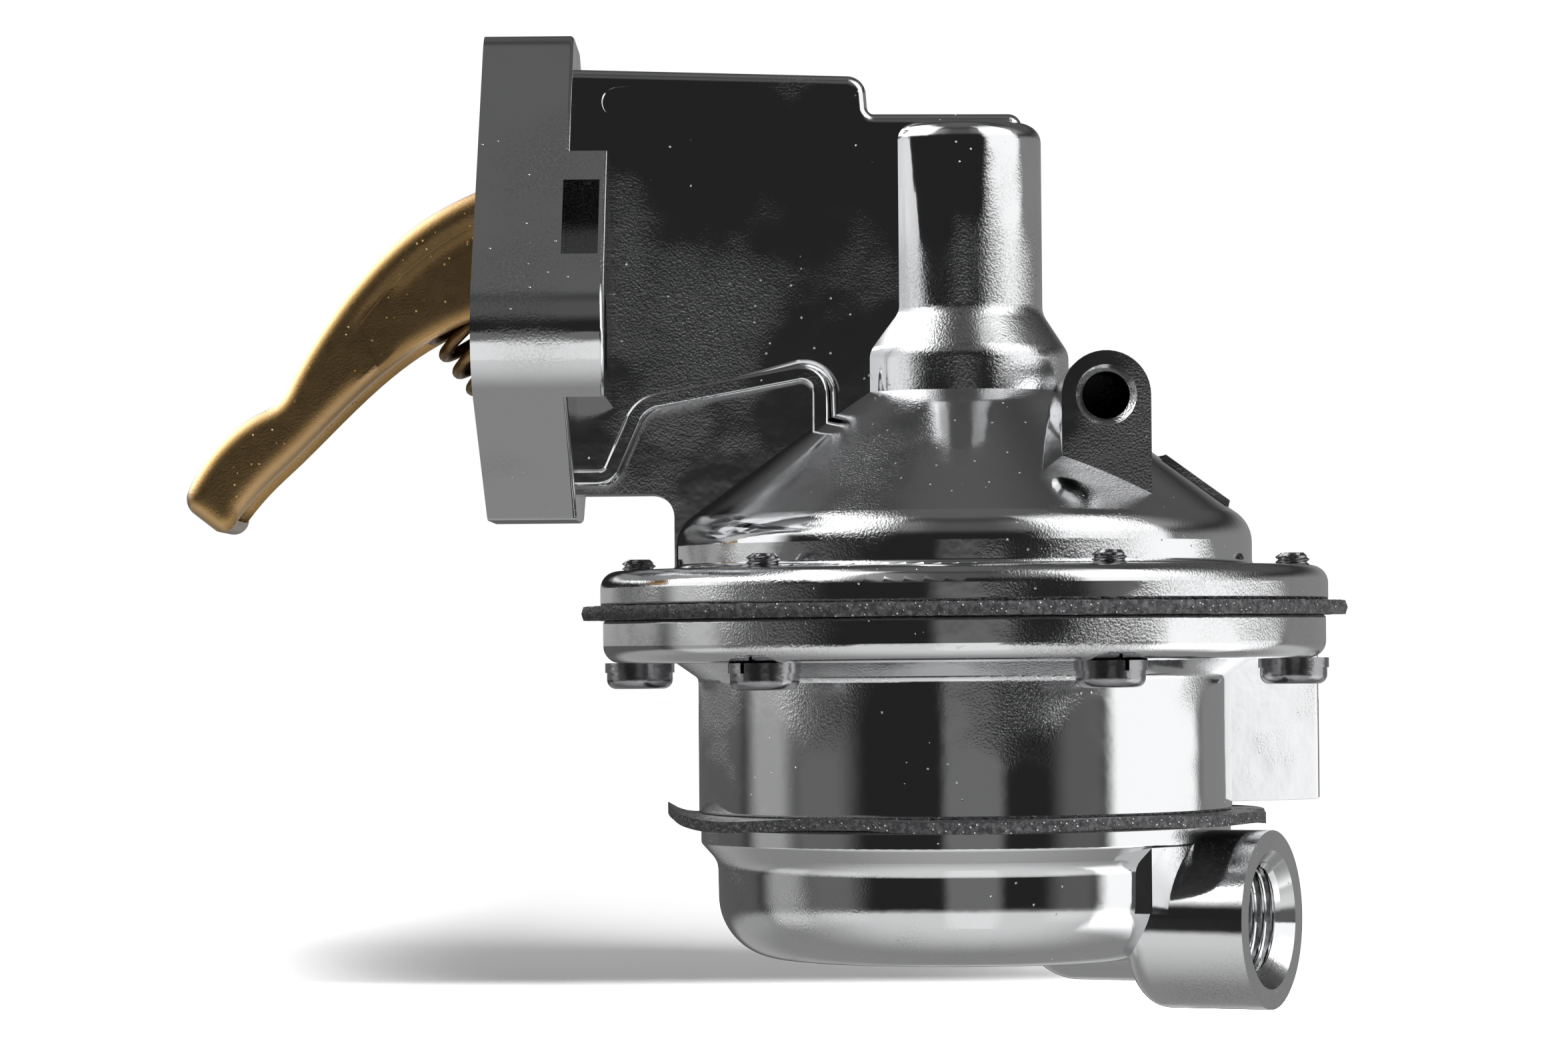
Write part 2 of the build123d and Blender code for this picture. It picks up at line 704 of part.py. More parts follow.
# Diaphragm: rim clamped flat, middle lower by the stroke when at rest
rest_top = sheet_top - stroke
with BuildPart() as diaphragm:
    with BuildSketch(turning_plane):
        with BuildLine():
            FilletPolyline(
                (stud_r + running_gap, rest_top),
                (sheet_flat_r, rest_top),
                (chamber_r - 1, sheet_top),
                (sheet_r, sheet_top),
                (sheet_r, sheet_bottom),
                (chamber_r - 1, sheet_bottom),
                (sheet_flat_r, rest_top - sheet_thickness),
                (stud_r + running_gap, rest_top - sheet_thickness),
                radius=(0, 2, 2, 0, 0, 2, 2, 0),
                close=True,
            )
        make_face()
    revolve(axis=pump_axis)
    with BuildSketch(at_axis(sheet_bottom)) as sheet_holes:
        with PolarLocations(screw_circle_r, screw_count, start_angle=screw_azimuth):
            Circle(screw_r + running_gap)
    extrude(sheet_holes.sketch, amount=sheet_thickness, mode=Mode.SUBTRACT)
diaphragm.part.label = "diaphragm"
export_step(diaphragm.part, "parts/diaphragm.step")

# Pull rod: shank, shoulder on the upper plate, and a stud through both plates
plate_top = rest_top + plate_thickness
lower_plate_bottom = rest_top - sheet_thickness - plate_thickness
stud_end = lower_plate_bottom - nut_height - 0.3
seat_top = seat_bottom + seat_thickness
with BuildPart() as pull_rod:
    with BuildSketch(turning_plane):
        with BuildLine():
            Polyline(
                (0, stud_end), (stud_r, stud_end), (stud_r, plate_top), (rod_r, plate_top),
                (rod_r, seat_bottom), (stud_r, seat_bottom), (stud_r, seat_top), (rod_r + 0.6, seat_top),
                (rod_r, seat_top + 1.5),
                (0, seat_top + 1.5), close=True,
            )
        make_face()
    revolve(axis=pump_axis)
pull_rod.part.label = "pull_rod"
export_step(pull_rod.part, "parts/pull_rod.step")

# Cupped seat for the spring in the tower
with BuildPart() as spring_cup:
    with BuildSketch(turning_plane):
        with BuildLine():
            Polyline(
                (stud_r + running_gap, seat_bottom), (seat_r - 0.6, seat_bottom), (seat_r, seat_bottom + 0.6),
                (seat_r, seat_top + 0.6), (seat_r - 0.35, seat_top + 0.6), (seat_r - 0.35, seat_top - 0.3),
                (rod_r + 1.2, seat_top - 0.3), (rod_r + 1.0, seat_top), (stud_r + running_gap, seat_top), close=True,
            )
        make_face()
    revolve(axis=pump_axis)
spring_cup.part.label = "spring_cup"
export_step(spring_cup.part, "parts/spring_cup.step")

# Spring in the tower, pushing the diaphragm down
spring_low = seat_top - 0.3 + tower_wire_r + 0.1
spring_high = tower_top - tower_roof - tower_wire_r - 0.1
with BuildPart() as diaphragm_spring:
    with BuildLine() as tower_helix:
        Helix(
            (spring_high - spring_low) / tower_turns, spring_high - spring_low, tower_coil_r,
            center=(axis_x, 0, spring_low),
        )
    with BuildSketch(Plane(origin=tower_helix.line @ 0, z_dir=tower_helix.line % 0)):
        Circle(tower_wire_r)
    sweep(path=tower_helix.line, is_frenet=True)
diaphragm_spring.part.label = "diaphragm_spring"
export_step(diaphragm_spring.part, "parts/diaphragm_spring.step")

# Rod seal in its bore, and the washer that keeps it there
seal_height = 6.0
with BuildPart() as rod_seal:
    with BuildSketch(turning_plane):
        with BuildLine():
            Polyline(
                (rod_r + running_gap, tower_floor_bottom), (seal_bore_r - running_gap, tower_floor_bottom),
                (seal_bore_r - running_gap, tower_floor_bottom - seal_height),
                (seal_bore_r - 2, tower_floor_bottom - seal_height),
                (rod_r + 1.6, tower_floor_bottom - seal_height + 3),
                (rod_r + running_gap, tower_floor_bottom - seal_height + 1.2), close=True,
            )
        make_face()
    revolve(axis=pump_axis)
rod_seal.part.label = "rod_seal"
export_step(rod_seal.part, "parts/rod_seal.step")

with BuildPart() as seal_retainer:
    with BuildSketch(at_axis(tower_floor_bottom - seal_height)):
        Circle(seal_bore_r - running_gap)
        Circle(rod_r + side_gap, mode=Mode.SUBTRACT)
    extrude(amount=-1.2)
seal_retainer.part.label = "seal_retainer"
export_step(seal_retainer.part, "parts/seal_retainer.step")

# Plates that grip the middle of the diaphragm
with BuildPart() as upper_plate:
    with BuildSketch(turning_plane):
        with BuildLine():
            FilletPolyline(
                (stud_r + running_gap, rest_top), (plate_r - plate_curl, rest_top),
                (plate_r, rest_top + plate_curl), (plate_r, rest_top + plate_rim_height),
                (plate_r - plate_rim, rest_top + plate_rim_height), (plate_r - plate_rim_foot, plate_top),
                (stud_r + running_gap, plate_top),
                radius=(0, plate_curl, 0.8 * plate_rim, 0.3 * plate_rim, 0.3 * plate_rim, 0.8 * plate_rim, 0),
                close=True,
            )
        make_face()
    revolve(axis=pump_axis)
upper_plate.part.label = "upper_plate"
export_step(upper_plate.part, "parts/upper_plate.step")

with BuildPart() as lower_plate:
    with BuildSketch(at_axis(rest_top - sheet_thickness)):
        Circle(plate_r - 1)
        Circle(stud_r + running_gap, mode=Mode.SUBTRACT)
    extrude(amount=-plate_thickness)
    fillet(lower_plate.edges().filter_by(lambda edge: edge.length > plate_r).sort_by(Axis.Z)[-1], 0.9)
lower_plate.part.label = "lower_plate"
export_step(lower_plate.part, "parts/lower_plate.step")

with BuildPart() as rod_nut:
    with BuildSketch(at_axis(lower_plate_bottom)):
        RegularPolygon(nut_flats / 2, 6, major_radius=False)
        Circle(stud_r + running_gap, mode=Mode.SUBTRACT)
    extrude(amount=-nut_height)
rod_nut.part.label = "rod_nut"
export_step(rod_nut.part, "parts/rod_nut.step")

# Valve body: one casting with the chamber dish, valve floor, two pockets and the outlet block
outlet_plane = port_plane(outlet_azimuth, outlet_reach, outlet_z)
passage_z = floor_bottom - outlet_passage_r - 0.3
inlet_spots = [(-valve_spacing_x / 2, -valve_offset_y), (valve_spacing_x / 2, -valve_offset_y)]
outlet_spots = [(-valve_spacing_x / 2, valve_offset_y), (valve_spacing_x / 2, valve_offset_y)]
with BuildPart() as valve_body:
    with BuildSketch(turning_plane):
        with BuildLine():
            FilletPolyline(
                (0, sheet_bottom), (lower_clamp_r, sheet_bottom), (lower_clamp_r, lower_clamp_bottom),
                (neck_top_r, lower_clamp_bottom), (body_r, neck_bottom), (body_r, body_bottom), (0, body_bottom),
                radius=(0, 0.5, 2.4, 0.5, 1.0, 0.4, 0), close=True,
            )
        make_face()
    revolve(axis=pump_axis)
    with BuildSketch(Plane(origin=(axis_x, 0, outlet_bottom), x_dir=outlet_plane.z_dir)) as outlet_block:
        with Locations((outlet_reach / 2, 0)):
            Rectangle(outlet_reach, 2 * outlet_half)
    block = extrude(outlet_block.sketch, amount=lower_clamp_bottom + 0.5 - outlet_bottom, mode=Mode.PRIVATE)
    block_edges = block.edges().filter_by(
        lambda edge: edge.center().Z < lower_clamp_bottom and (edge.center() - outlet_plane.origin).length < 30
    )
    add(block.fillet(outlet_edge_r, block_edges))
    # chamber dish under the diaphragm
    with BuildSketch(turning_plane) as dish:
        with BuildLine():
            FilletPolyline(
                (0, sheet_bottom), (chamber_r - 0.4, sheet_bottom), (chamber_r - 0.4, sheet_bottom - 2.5),
                (dish_r, neck_bottom + 1), (dish_r, floor_top), (0, floor_top),
                radius=(0, 0, 0.5, 1, 2, 0), close=True,
            )
        make_face()
    revolve(dish.sketch, axis=pump_axis, mode=Mode.SUBTRACT)
    # lower pockets, parted by the divider and the bolt boss
    with BuildSketch(at_axis(body_bottom)) as pockets:
        Circle(body_r - body_wall)
        Rectangle(2 * body_r, 2 * divider_half, mode=Mode.SUBTRACT)
        Circle(hub_boss_r, mode=Mode.SUBTRACT)
    extrude(pockets.sketch, amount=floor_bottom - body_bottom, mode=Mode.SUBTRACT)
    # outlet thread bore and the passage from the rear pocket
    with BuildSketch(outlet_plane) as outlet_thread:
        Circle(thread_r)
    extrude(outlet_thread.sketch, amount=-thread_depth, mode=Mode.SUBTRACT)
    with BuildSketch(port_plane(outlet_azimuth, outlet_reach - 1, passage_z)) as outlet_passage:
        Circle(outlet_passage_r)
    extrude(outlet_passage.sketch, amount=body_r - body_wall - outlet_reach, mode=Mode.SUBTRACT)
    # valve bores, each with a shallow step for its cage's rim
    with BuildSketch(at_axis(floor_top)) as valve_bores:
        with Locations(*inlet_spots, *outlet_spots):
            Circle(cage_r)
    extrude(valve_bores.sketch, amount=-floor_thickness, mode=Mode.SUBTRACT)
    with BuildSketch(at_axis(floor_top)) as outlet_steps:
        with Locations(*outlet_spots):
            Circle(cage_rim_r)
    extrude(outlet_steps.sketch, amount=-cage_rim, mode=Mode.SUBTRACT)
    with BuildSketch(at_axis(floor_bottom)) as inlet_steps:
        with Locations(*inlet_spots):
            Circle(cage_rim_r)
    extrude(inlet_steps.sketch, amount=cage_rim, mode=Mode.SUBTRACT)
    # screw holes and the tapped hole for the cap bolt
    with BuildSketch(at_axis(lower_clamp_bottom)) as clearance_holes:
        with PolarLocations(screw_circle_r, screw_count, start_angle=screw_azimuth):
            Circle(screw_r + 3 * running_gap)
    extrude(clearance_holes.sketch, amount=sheet_bottom - lower_clamp_bottom, mode=Mode.SUBTRACT)
    with BuildSketch(at_axis(body_bottom)) as bolt_tap:
        Circle(bolt_r + running_gap)
    extrude(bolt_tap.sketch, amount=bolt_depth + 1, mode=Mode.SUBTRACT)
    outlet_mouth = valve_body.edges().filter_by(GeomType.CIRCLE).filter_by(
        lambda edge: abs(edge.radius - thread_r) < 1e-3
    ).sort_by(lambda edge: edge.center().dot(outlet_plane.z_dir))[-1]
    chamfer(outlet_mouth, mouth_depth)
valve_body.part.label = "valve_body"
export_step(valve_body.part, "parts/valve_body.step")

# Valves: a pressed cage, a disc that lifts off its seat, and a light spring behind the disc
disc_low = cage_seat + running_gap
disc_high = disc_low + disc_thickness
cage_inside_end = disc_high + disc_travel + valve_spring_packed
cage_depth = cage_inside_end + cage_end


def make_valve(name, spot, z, flow):
    """Cage, disc and spring of one valve whose rim lies at height z, letting fuel pass along flow."""
    x, y = spot
    seat = Plane(origin=(axis_x + x, y, z), x_dir=(1, 0, 0), z_dir=(0, 0, flow))
    with BuildPart() as cage:
        with BuildSketch(seat):
            Circle(cage_rim_r)
        extrude(amount=cage_rim)
        with BuildSketch(seat):
            Circle(cage_r)
        extrude(amount=cage_depth)
        with BuildSketch(seat.offset(cage_seat)):
            Circle(cage_r - cage_wall)
        extrude(amount=cage_inside_end - cage_seat, mode=Mode.SUBTRACT)
        with BuildSketch(seat):
            Circle(cage_seat_r)
        extrude(amount=cage_seat, mode=Mode.SUBTRACT)
        with BuildSketch(seat.offset(cage_inside_end)):
            with PolarLocations(cage_window_circle_r, 4, start_angle=45):
                Circle(cage_window_r)
        extrude(amount=cage_end, mode=Mode.SUBTRACT)
    cage.part.label = f"{name}_cage"
    export_step(cage.part, f"parts/{name}_cage.step")
    with BuildPart() as disc:
        with BuildSketch(seat.offset(disc_low)):
            Circle(disc_r)
        extrude(amount=disc_thickness)
        chamfer(disc.edges(), 0.2)
    disc.part.label = f"{name}_disc"
    export_step(disc.part, f"parts/{name}_disc.step")
    coil_length = cage_inside_end - disc_high - 2 * valve_wire_r - 2 * running_gap
    with BuildPart() as spring:
        with BuildLine() as coil:
            Helix(
                coil_length / valve_turns, coil_length, valve_coil_r,
                center=seat.origin + seat.z_dir * (disc_high + valve_wire_r + running_gap), direction=seat.z_dir,
            )
        with BuildSketch(Plane(origin=coil.line @ 0, z_dir=coil.line % 0)):
            Circle(valve_wire_r)
        sweep(path=coil.line, is_frenet=True)
    spring.part.label = f"{name}_spring"
    export_step(spring.part, f"parts/{name}_spring.step")


make_valve("inlet_valve_left", inlet_spots[0], floor_bottom, 1)
make_valve("inlet_valve_right", inlet_spots[1], floor_bottom, 1)
make_valve("outlet_valve_left", outlet_spots[0], floor_top, -1)
make_valve("outlet_valve_right", outlet_spots[1], floor_top, -1)

# Cap gasket: open over the inlet pocket, closed over the outlet pocket, where it flexes
with BuildPart() as cap_gasket:
    with BuildSketch(at_axis(gasket_bottom)) as gasket_sheet:
        Circle(gasket_r)
        with BuildSketch(mode=Mode.PRIVATE) as inlet_window:
            Circle(cap_pocket_r)
            with Locations((0, body_r - cap_rib_half)):
                Rectangle(2 * body_r, 2 * body_r, mode=Mode.SUBTRACT)
            Circle(hub_boss_r, mode=Mode.SUBTRACT)
        add(inlet_window.sketch, mode=Mode.SUBTRACT)
        Circle(bolt_r + side_gap, mode=Mode.SUBTRACT)
    extrude(gasket_sheet.sketch, amount=gasket_thickness)
cap_gasket.part.label = "cap_gasket"
export_step(cap_gasket.part, "parts/cap_gasket.step")

# Lower cap: a shallow pan with the inlet boss and the round runner under its bottom
inlet_plane = port_plane(inlet_azimuth, inlet_reach, inlet_z)
inlet_out = inlet_plane.z_dir
recess_top = cap_bottom + bolt_head_height + bolt_washer + side_gap
with BuildPart() as inlet_boss:
    with BuildSketch(inlet_plane):
        Circle(inlet_boss_r)
    extrude(amount=-inlet_boss_length)
    inner_rim = inlet_boss.edges().sort_by(lambda edge: edge.center().dot(inlet_out))[0]
    fillet(inner_rim, inlet_boss_edge_r)

with BuildPart() as runner:
    with BuildSketch(port_plane(inlet_azimuth, runner_end, inlet_z)):
        Circle(runner_r)
    extrude(amount=runner_start - runner_end)
    inner_rim = runner.edges().sort_by(lambda edge: edge.center().dot(inlet_out))[0]
    fillet(inner_rim, runner_edge_r)

with BuildPart() as lower_cap:
    with BuildSketch(turning_plane):
        with BuildLine():
            FilletPolyline(
                (0, gasket_bottom), (cap_rim_r, gasket_bottom), (cap_rim_r, gasket_bottom - cap_rim_depth),
                (cap_r, gasket_bottom - 2 * cap_rim_depth), (cap_r - 0.2, cap_bottom), (0, cap_bottom),
                radius=(0, 0.5, 0.6, 3.0, cap_corner_r, 0), close=True,
            )
        make_face()
    revolve(axis=pump_axis)
    with BuildSketch(Plane(origin=(axis_x, 0, cap_pad_bottom), x_dir=inlet_out)) as cap_pad:
        Circle(cap_pad_r)
        with Locations((cap_pad_r, 0)):
            Rectangle(cap_pad_r, 2 * cap_pad_half, mode=Mode.INTERSECT)
    extrude(cap_pad.sketch, amount=gasket_bottom - cap_pad_bottom)
    add(inlet_boss.part)
    add(runner.part)
    # the pan's inside, parted by a rib with the bolt boss in its middle
    with BuildSketch(at_axis(cap_bottom + cap_wall)) as pan:
        Circle(cap_pocket_r)
        Rectangle(2 * cap_r, 2 * cap_rib_half, mode=Mode.SUBTRACT)
        Circle(hub_boss_r, mode=Mode.SUBTRACT)
    with BuildPart(mode=Mode.PRIVATE) as pan_block:
        extrude(pan.sketch, amount=gasket_bottom - cap_bottom - cap_wall)
    add(pan_block.part, mode=Mode.SUBTRACT)
    # inlet thread bore and passage
    with BuildSketch(inlet_plane) as inlet_thread:
        Circle(thread_r)
    extrude(inlet_thread.sketch, amount=-thread_depth, mode=Mode.SUBTRACT)
    with BuildSketch(inlet_plane) as inlet_passage:
        Circle(inlet_passage_r)
    extrude(inlet_passage.sketch, amount=inlet_passage_start - inlet_reach, mode=Mode.SUBTRACT)
    # bolt hole and the recess for its head
    with BuildSketch(at_axis(cap_bottom)) as bolt_hole:
        Circle(bolt_r + side_gap)
    extrude(bolt_hole.sketch, amount=gasket_bottom - cap_bottom, mode=Mode.SUBTRACT)
    with BuildSketch(at_axis(cap_bottom)) as bolt_recess:
        Circle(bolt_recess_r)
    extrude(bolt_recess.sketch, amount=recess_top - cap_bottom, mode=Mode.SUBTRACT)
    inlet_mouth = lower_cap.edges().filter_by(GeomType.CIRCLE).filter_by(
        lambda edge: abs(edge.radius - thread_r) < 1e-3
    ).sort_by(lambda edge: edge.center().dot(inlet_out))[-1]
    chamfer(inlet_mouth, mouth_depth)
lower_cap.part.label = "lower_cap"
export_step(lower_cap.part, "parts/lower_cap.step")

# Bolt that draws the cap up to the valve body, with its sealing washer
with BuildPart() as bolt_seal:
    with BuildSketch(at_axis(recess_top)):
        Circle(bolt_recess_r - side_gap)
        Circle(bolt_r + running_gap, mode=Mode.SUBTRACT)
    extrude(amount=-bolt_washer)
bolt_seal.part.label = "bolt_seal"
export_step(bolt_seal.part, "parts/bolt_seal.step")

with BuildPart() as cap_bolt:
    with BuildSketch(at_axis(recess_top - bolt_washer)) as bolt_head:
        RegularPolygon(bolt_head_flats / 2, 6, major_radius=False)
    extrude(amount=-bolt_head_height)
    with BuildSketch(at_axis(recess_top - bolt_washer)) as bolt_shank:
        Circle(bolt_r)
    extrude(amount=body_bottom + bolt_depth - recess_top + bolt_washer)
    chamfer(cap_bolt.faces().sort_by(Axis.Z)[-1].edges(), 0.5)
cap_bolt.part.label = "cap_bolt"
export_step(cap_bolt.part, "parts/cap_bolt.step")

# Clamp screws and their spring washers, one under every head
head_top = lower_clamp_bottom - washer_thickness
with BuildPart() as clamp_screws:
    with BuildSketch(at_axis(head_top)) as screw_heads:
        with PolarLocations(screw_circle_r, screw_count, start_angle=screw_azimuth):
            Circle(head_r)
    extrude(screw_heads.sketch, amount=-head_height)
    fillet(clamp_screws.faces().sort_by(Axis.Z)[0:screw_count].edges(), head_edge_r)
    with BuildSketch(at_axis(head_top)) as screw_shanks:
        with PolarLocations(screw_circle_r, screw_count, start_angle=screw_azimuth):
            Circle(screw_r)
    extrude(screw_shanks.sketch, amount=screw_end - head_top)
    with BuildSketch(at_axis(head_top - head_height)) as recesses:
        with PolarLocations(screw_circle_r, screw_count, start_angle=screw_azimuth):
            Rectangle(head_r, head_r / 5)
            Rectangle(head_r / 5, head_r)
    extrude(recesses.sketch, amount=head_height / 2, mode=Mode.SUBTRACT)
    screw_tips = clamp_screws.faces().sort_by(Axis.Z)[-screw_count:].edges()
    chamfer(screw_tips, screw_tip_chamfer)
clamp_screws.part.label = "clamp_screws"
export_step(clamp_screws.part, "parts/clamp_screws.step")

with BuildPart() as spring_washers:
    with BuildSketch(at_axis(lower_clamp_bottom)) as washer_rings:
        with PolarLocations(screw_circle_r, screw_count, start_angle=screw_azimuth):
            Circle(washer_r)
            Circle(screw_r + 3 * running_gap, mode=Mode.SUBTRACT)
        with PolarLocations(screw_circle_r + washer_r, screw_count, start_angle=screw_azimuth):
            Rectangle(2 * washer_r, washer_split, mode=Mode.SUBTRACT)
    extrude(washer_rings.sketch, amount=-washer_thickness)
spring_washers.part.label = "spring_washers"
export_step(spring_washers.part, "parts/spring_washers.step")
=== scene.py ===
import bpy
import bmesh
import json
import math
from mathutils import Matrix, Vector, noise


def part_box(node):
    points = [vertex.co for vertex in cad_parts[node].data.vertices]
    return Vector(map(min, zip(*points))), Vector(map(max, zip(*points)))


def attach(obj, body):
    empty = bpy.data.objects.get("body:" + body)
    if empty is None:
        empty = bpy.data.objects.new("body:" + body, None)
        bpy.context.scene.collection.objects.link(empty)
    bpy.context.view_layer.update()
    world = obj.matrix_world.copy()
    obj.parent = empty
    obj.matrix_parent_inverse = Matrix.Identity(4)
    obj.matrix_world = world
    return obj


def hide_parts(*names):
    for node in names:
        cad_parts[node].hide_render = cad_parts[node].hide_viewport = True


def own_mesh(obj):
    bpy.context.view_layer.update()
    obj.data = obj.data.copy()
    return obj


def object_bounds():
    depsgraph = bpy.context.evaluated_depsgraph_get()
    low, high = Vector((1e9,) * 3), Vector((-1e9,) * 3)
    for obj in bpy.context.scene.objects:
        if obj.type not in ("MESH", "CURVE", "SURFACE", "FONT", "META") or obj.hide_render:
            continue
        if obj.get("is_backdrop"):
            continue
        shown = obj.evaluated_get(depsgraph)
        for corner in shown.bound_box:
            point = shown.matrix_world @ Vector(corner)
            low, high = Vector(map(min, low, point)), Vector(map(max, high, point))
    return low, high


# %% [markdown]
# # Mechanical fuel pump
# An engine's eccentric pushes the bronze arm, and the arm works a diaphragm between two chromed
# castings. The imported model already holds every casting, lever and screw in its true shape. This
# script gives them their finishes, and adds what is too fine for the model: wound springs, threads,
# the frayed edge of the diaphragm and the wavy edge of the gasket.
# Lengths are in metres. The pump's own axis is vertical at AXIS_X, and the camera looks along +Y.

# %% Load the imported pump
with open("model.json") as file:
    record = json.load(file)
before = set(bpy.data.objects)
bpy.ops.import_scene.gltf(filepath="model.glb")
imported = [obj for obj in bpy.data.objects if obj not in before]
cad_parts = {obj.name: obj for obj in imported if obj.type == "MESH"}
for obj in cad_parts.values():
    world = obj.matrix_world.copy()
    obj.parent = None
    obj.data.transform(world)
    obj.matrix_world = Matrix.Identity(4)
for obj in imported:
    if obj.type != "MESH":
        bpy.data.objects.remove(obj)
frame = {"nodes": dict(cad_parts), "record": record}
packed_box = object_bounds()
nodes = frame["nodes"]
scene = bpy.context.scene
MM = 0.001
AXIS_X = 65.3 * MM


def at_pump(radius, azimuth, height):
    """A point at a radius from the pump's axis, the azimuth in degrees from +X towards +Y."""
    turn = math.radians(azimuth)
    return Vector((AXIS_X + radius * math.cos(turn), radius * math.sin(turn), height))


print("packed nodes:", len(nodes))

# %% [markdown]
# ## Sums with shader sockets
# A finish is mostly a handful of masks that are added and multiplied. Wiring Math nodes by hand hides
# the sum that they stand for. So a small class wraps a socket, and Python's own signs add the nodes:
# 1 - mask is one Math node. Every other node comes from add_node, with its settings first and then a
# number or a link for each of its sockets.

# %% Values and nodes
def add_node(tree, kind, settings=None, inputs=None):
    """A node of one kind: its settings, then a number or a link for each of its sockets."""
    node = tree.nodes.new(kind)
    for name, setting in (settings or {}).items():
        if name == "stops":
            set_stops(node.color_ramp.elements, setting)
        else:
            setattr(node, name, setting)
    for name, given in (inputs or {}).items():
        if isinstance(given, Value):
            tree.links.new(given.socket, node.inputs[name])
        else:
            node.inputs[name].default_value = given
    return node


def set_stops(elements, stops):
    while len(elements) < len(stops):
        elements.new(0.5)
    for element, (place, colour) in zip(elements, stops):
        element.position = place
        element.color = (*colour, 1)


def calculate(tree, operation, *terms):
    node = add_node(tree, "ShaderNodeMath", {"operation": operation}, dict(enumerate(terms)))
    return Value(tree, node.outputs[0])


class Value:
    """A socket that takes part in sums."""

    def __init__(self, tree, socket):
        self.tree = tree
        self.socket = socket

    def __add__(self, other):
        return calculate(self.tree, "ADD", self, other)

    def __sub__(self, other):
        return calculate(self.tree, "SUBTRACT", self, other)

    def __rsub__(self, other):
        return calculate(self.tree, "SUBTRACT", other, self)

    def __mul__(self, other):
        return calculate(self.tree, "MULTIPLY", self, other)

    __radd__ = __add__
    __rmul__ = __mul__

    def __abs__(self):
        return calculate(self.tree, "ABSOLUTE", self)

    def between(self, least, most):
        return calculate(self.tree, "MINIMUM", calculate(self.tree, "MAXIMUM", self, least), most)

    def step(self, off, on):
        """0 on the far side of off and 1 past on, with a smooth rise between."""
        inputs = {"From Min": off, "From Max": on, "Value": self}
        node = add_node(self.tree, "ShaderNodeMapRange", {"interpolation_type": "SMOOTHSTEP"}, inputs)
        return Value(self.tree, node.outputs["Result"])

    def band(self, start, end, edge):
        """1 from start to end, with edges that are soft by edge to both sides."""
        return self.step(start - edge, start + edge) * (1 - self.step(end - edge, end + edge))

    def ramp(self, *stops):
        """A colour for each place between the stops, each given as (place, colour)."""
        node = add_node(self.tree, "ShaderNodeValToRGB", {"stops": stops}, {"Fac": self})
        return Value(self.tree, node.outputs["Color"])


def split(vector):
    """The x, y and z of a vector socket."""
    node = add_node(vector.tree, "ShaderNodeSeparateXYZ", inputs={0: vector})
    return [Value(vector.tree, node.outputs[i]) for i in range(3)]


print("shader maths: signs, between, step, band and ramp")

# %% [markdown]
# ## One class for all finishes
# Every finish here is one Principled shader with patterns in Object coordinates, which stay with a
# piece when it moves. Noise gives a grain or a change of tone, and the cells of a Voronoi pattern give
# small separate dots, such as casting pits or threads of cloth.

# %% The finish class
class Finish:
    """A material with one main shader, and patterns in object coordinates."""

    def __init__(self, name, **inputs):
        self.made = bpy.data.materials.new(name)
        self.made.use_nodes = True
        self.tree = self.made.node_tree
        self.shader = self.tree.nodes["Principled BSDF"]
        self.place = Value(self.tree, self.add("ShaderNodeTexCoord").outputs["Object"])
        for key, given in inputs.items():
            self.shader.inputs[key.replace("_", " ")].default_value = given

    def add(self, kind, settings=None, inputs=None):
        return add_node(self.tree, kind, settings, inputs)

    def noise(self, scale, detail=2.0, roughness=0.5):
        inputs = {"Vector": self.place, "Scale": scale, "Detail": detail, "Roughness": roughness}
        return Value(self.tree, self.add("ShaderNodeTexNoise", inputs=inputs).outputs["Fac"])

    def specks(self, scale, size):
        """Small separate dots: 1 in a dot's middle, 0 outside."""
        cells = self.add("ShaderNodeTexVoronoi", inputs={"Vector": self.place, "Scale": scale})
        return Value(self.tree, cells.outputs["Distance"]).step(size, size * 0.3)

    def bump(self, height, distance):
        inputs = {"Strength": 1.0, "Distance": distance, "Height": height}
        self.bumps = self.add("ShaderNodeBump", inputs=inputs)
        self.tree.links.new(self.bumps.outputs["Normal"], self.shader.inputs["Normal"])

    def round_edges(self, radius, plain):
        """Softens the shading of every edge like a large pressing radius, except where plain is 1."""
        soft = self.add("ShaderNodeBevel", {"samples": 6}, {"Radius": radius})
        true = self.add("ShaderNodeNewGeometry")
        mix = self.add("ShaderNodeMix", {"data_type": "VECTOR"}, {
            "Factor": plain,
            4: Value(self.tree, soft.outputs["Normal"]),
            5: Value(self.tree, true.outputs["Normal"]),
        })
        self.tree.links.new(mix.outputs[1], self.bumps.inputs["Normal"])

    def set(self, name, value):
        self.tree.links.new(value.socket, self.shader.inputs[name])


print("patterns: noise, specks and bump")

# %% [markdown]
# ## Chrome plate
# The castings are plated and then only lightly polished, so the plating is a mirror with faults. It
# keeps the orange-peel ripple of the casting, has dull grainy patches and small pits. A clean mirror
# would look like plastic. So one slow noise says where the grain lies, and the same mask drives the
# tone, the roughness and the bump. The lug's hole and the recess in the flange's rim are darkened in
# the colour as painted shade, and both are found by their place on the casting. The hole is also bare,
# rougher metal, since plating doesn't reach into deep narrow places.

# %% Chrome
chrome = Finish("chrome_plate", Metallic=1.0, IOR=1.5)
grainy = chrome.noise(45, 3).step(0.45, 0.68)
grain = chrome.noise(3200, 3)
ripple = chrome.noise(160, 3)
pits = chrome.specks(520, 0.085) * chrome.noise(70, 1).step(0.5, 0.62)
chrome_x, chrome_y, chrome_z = split(chrome.place)
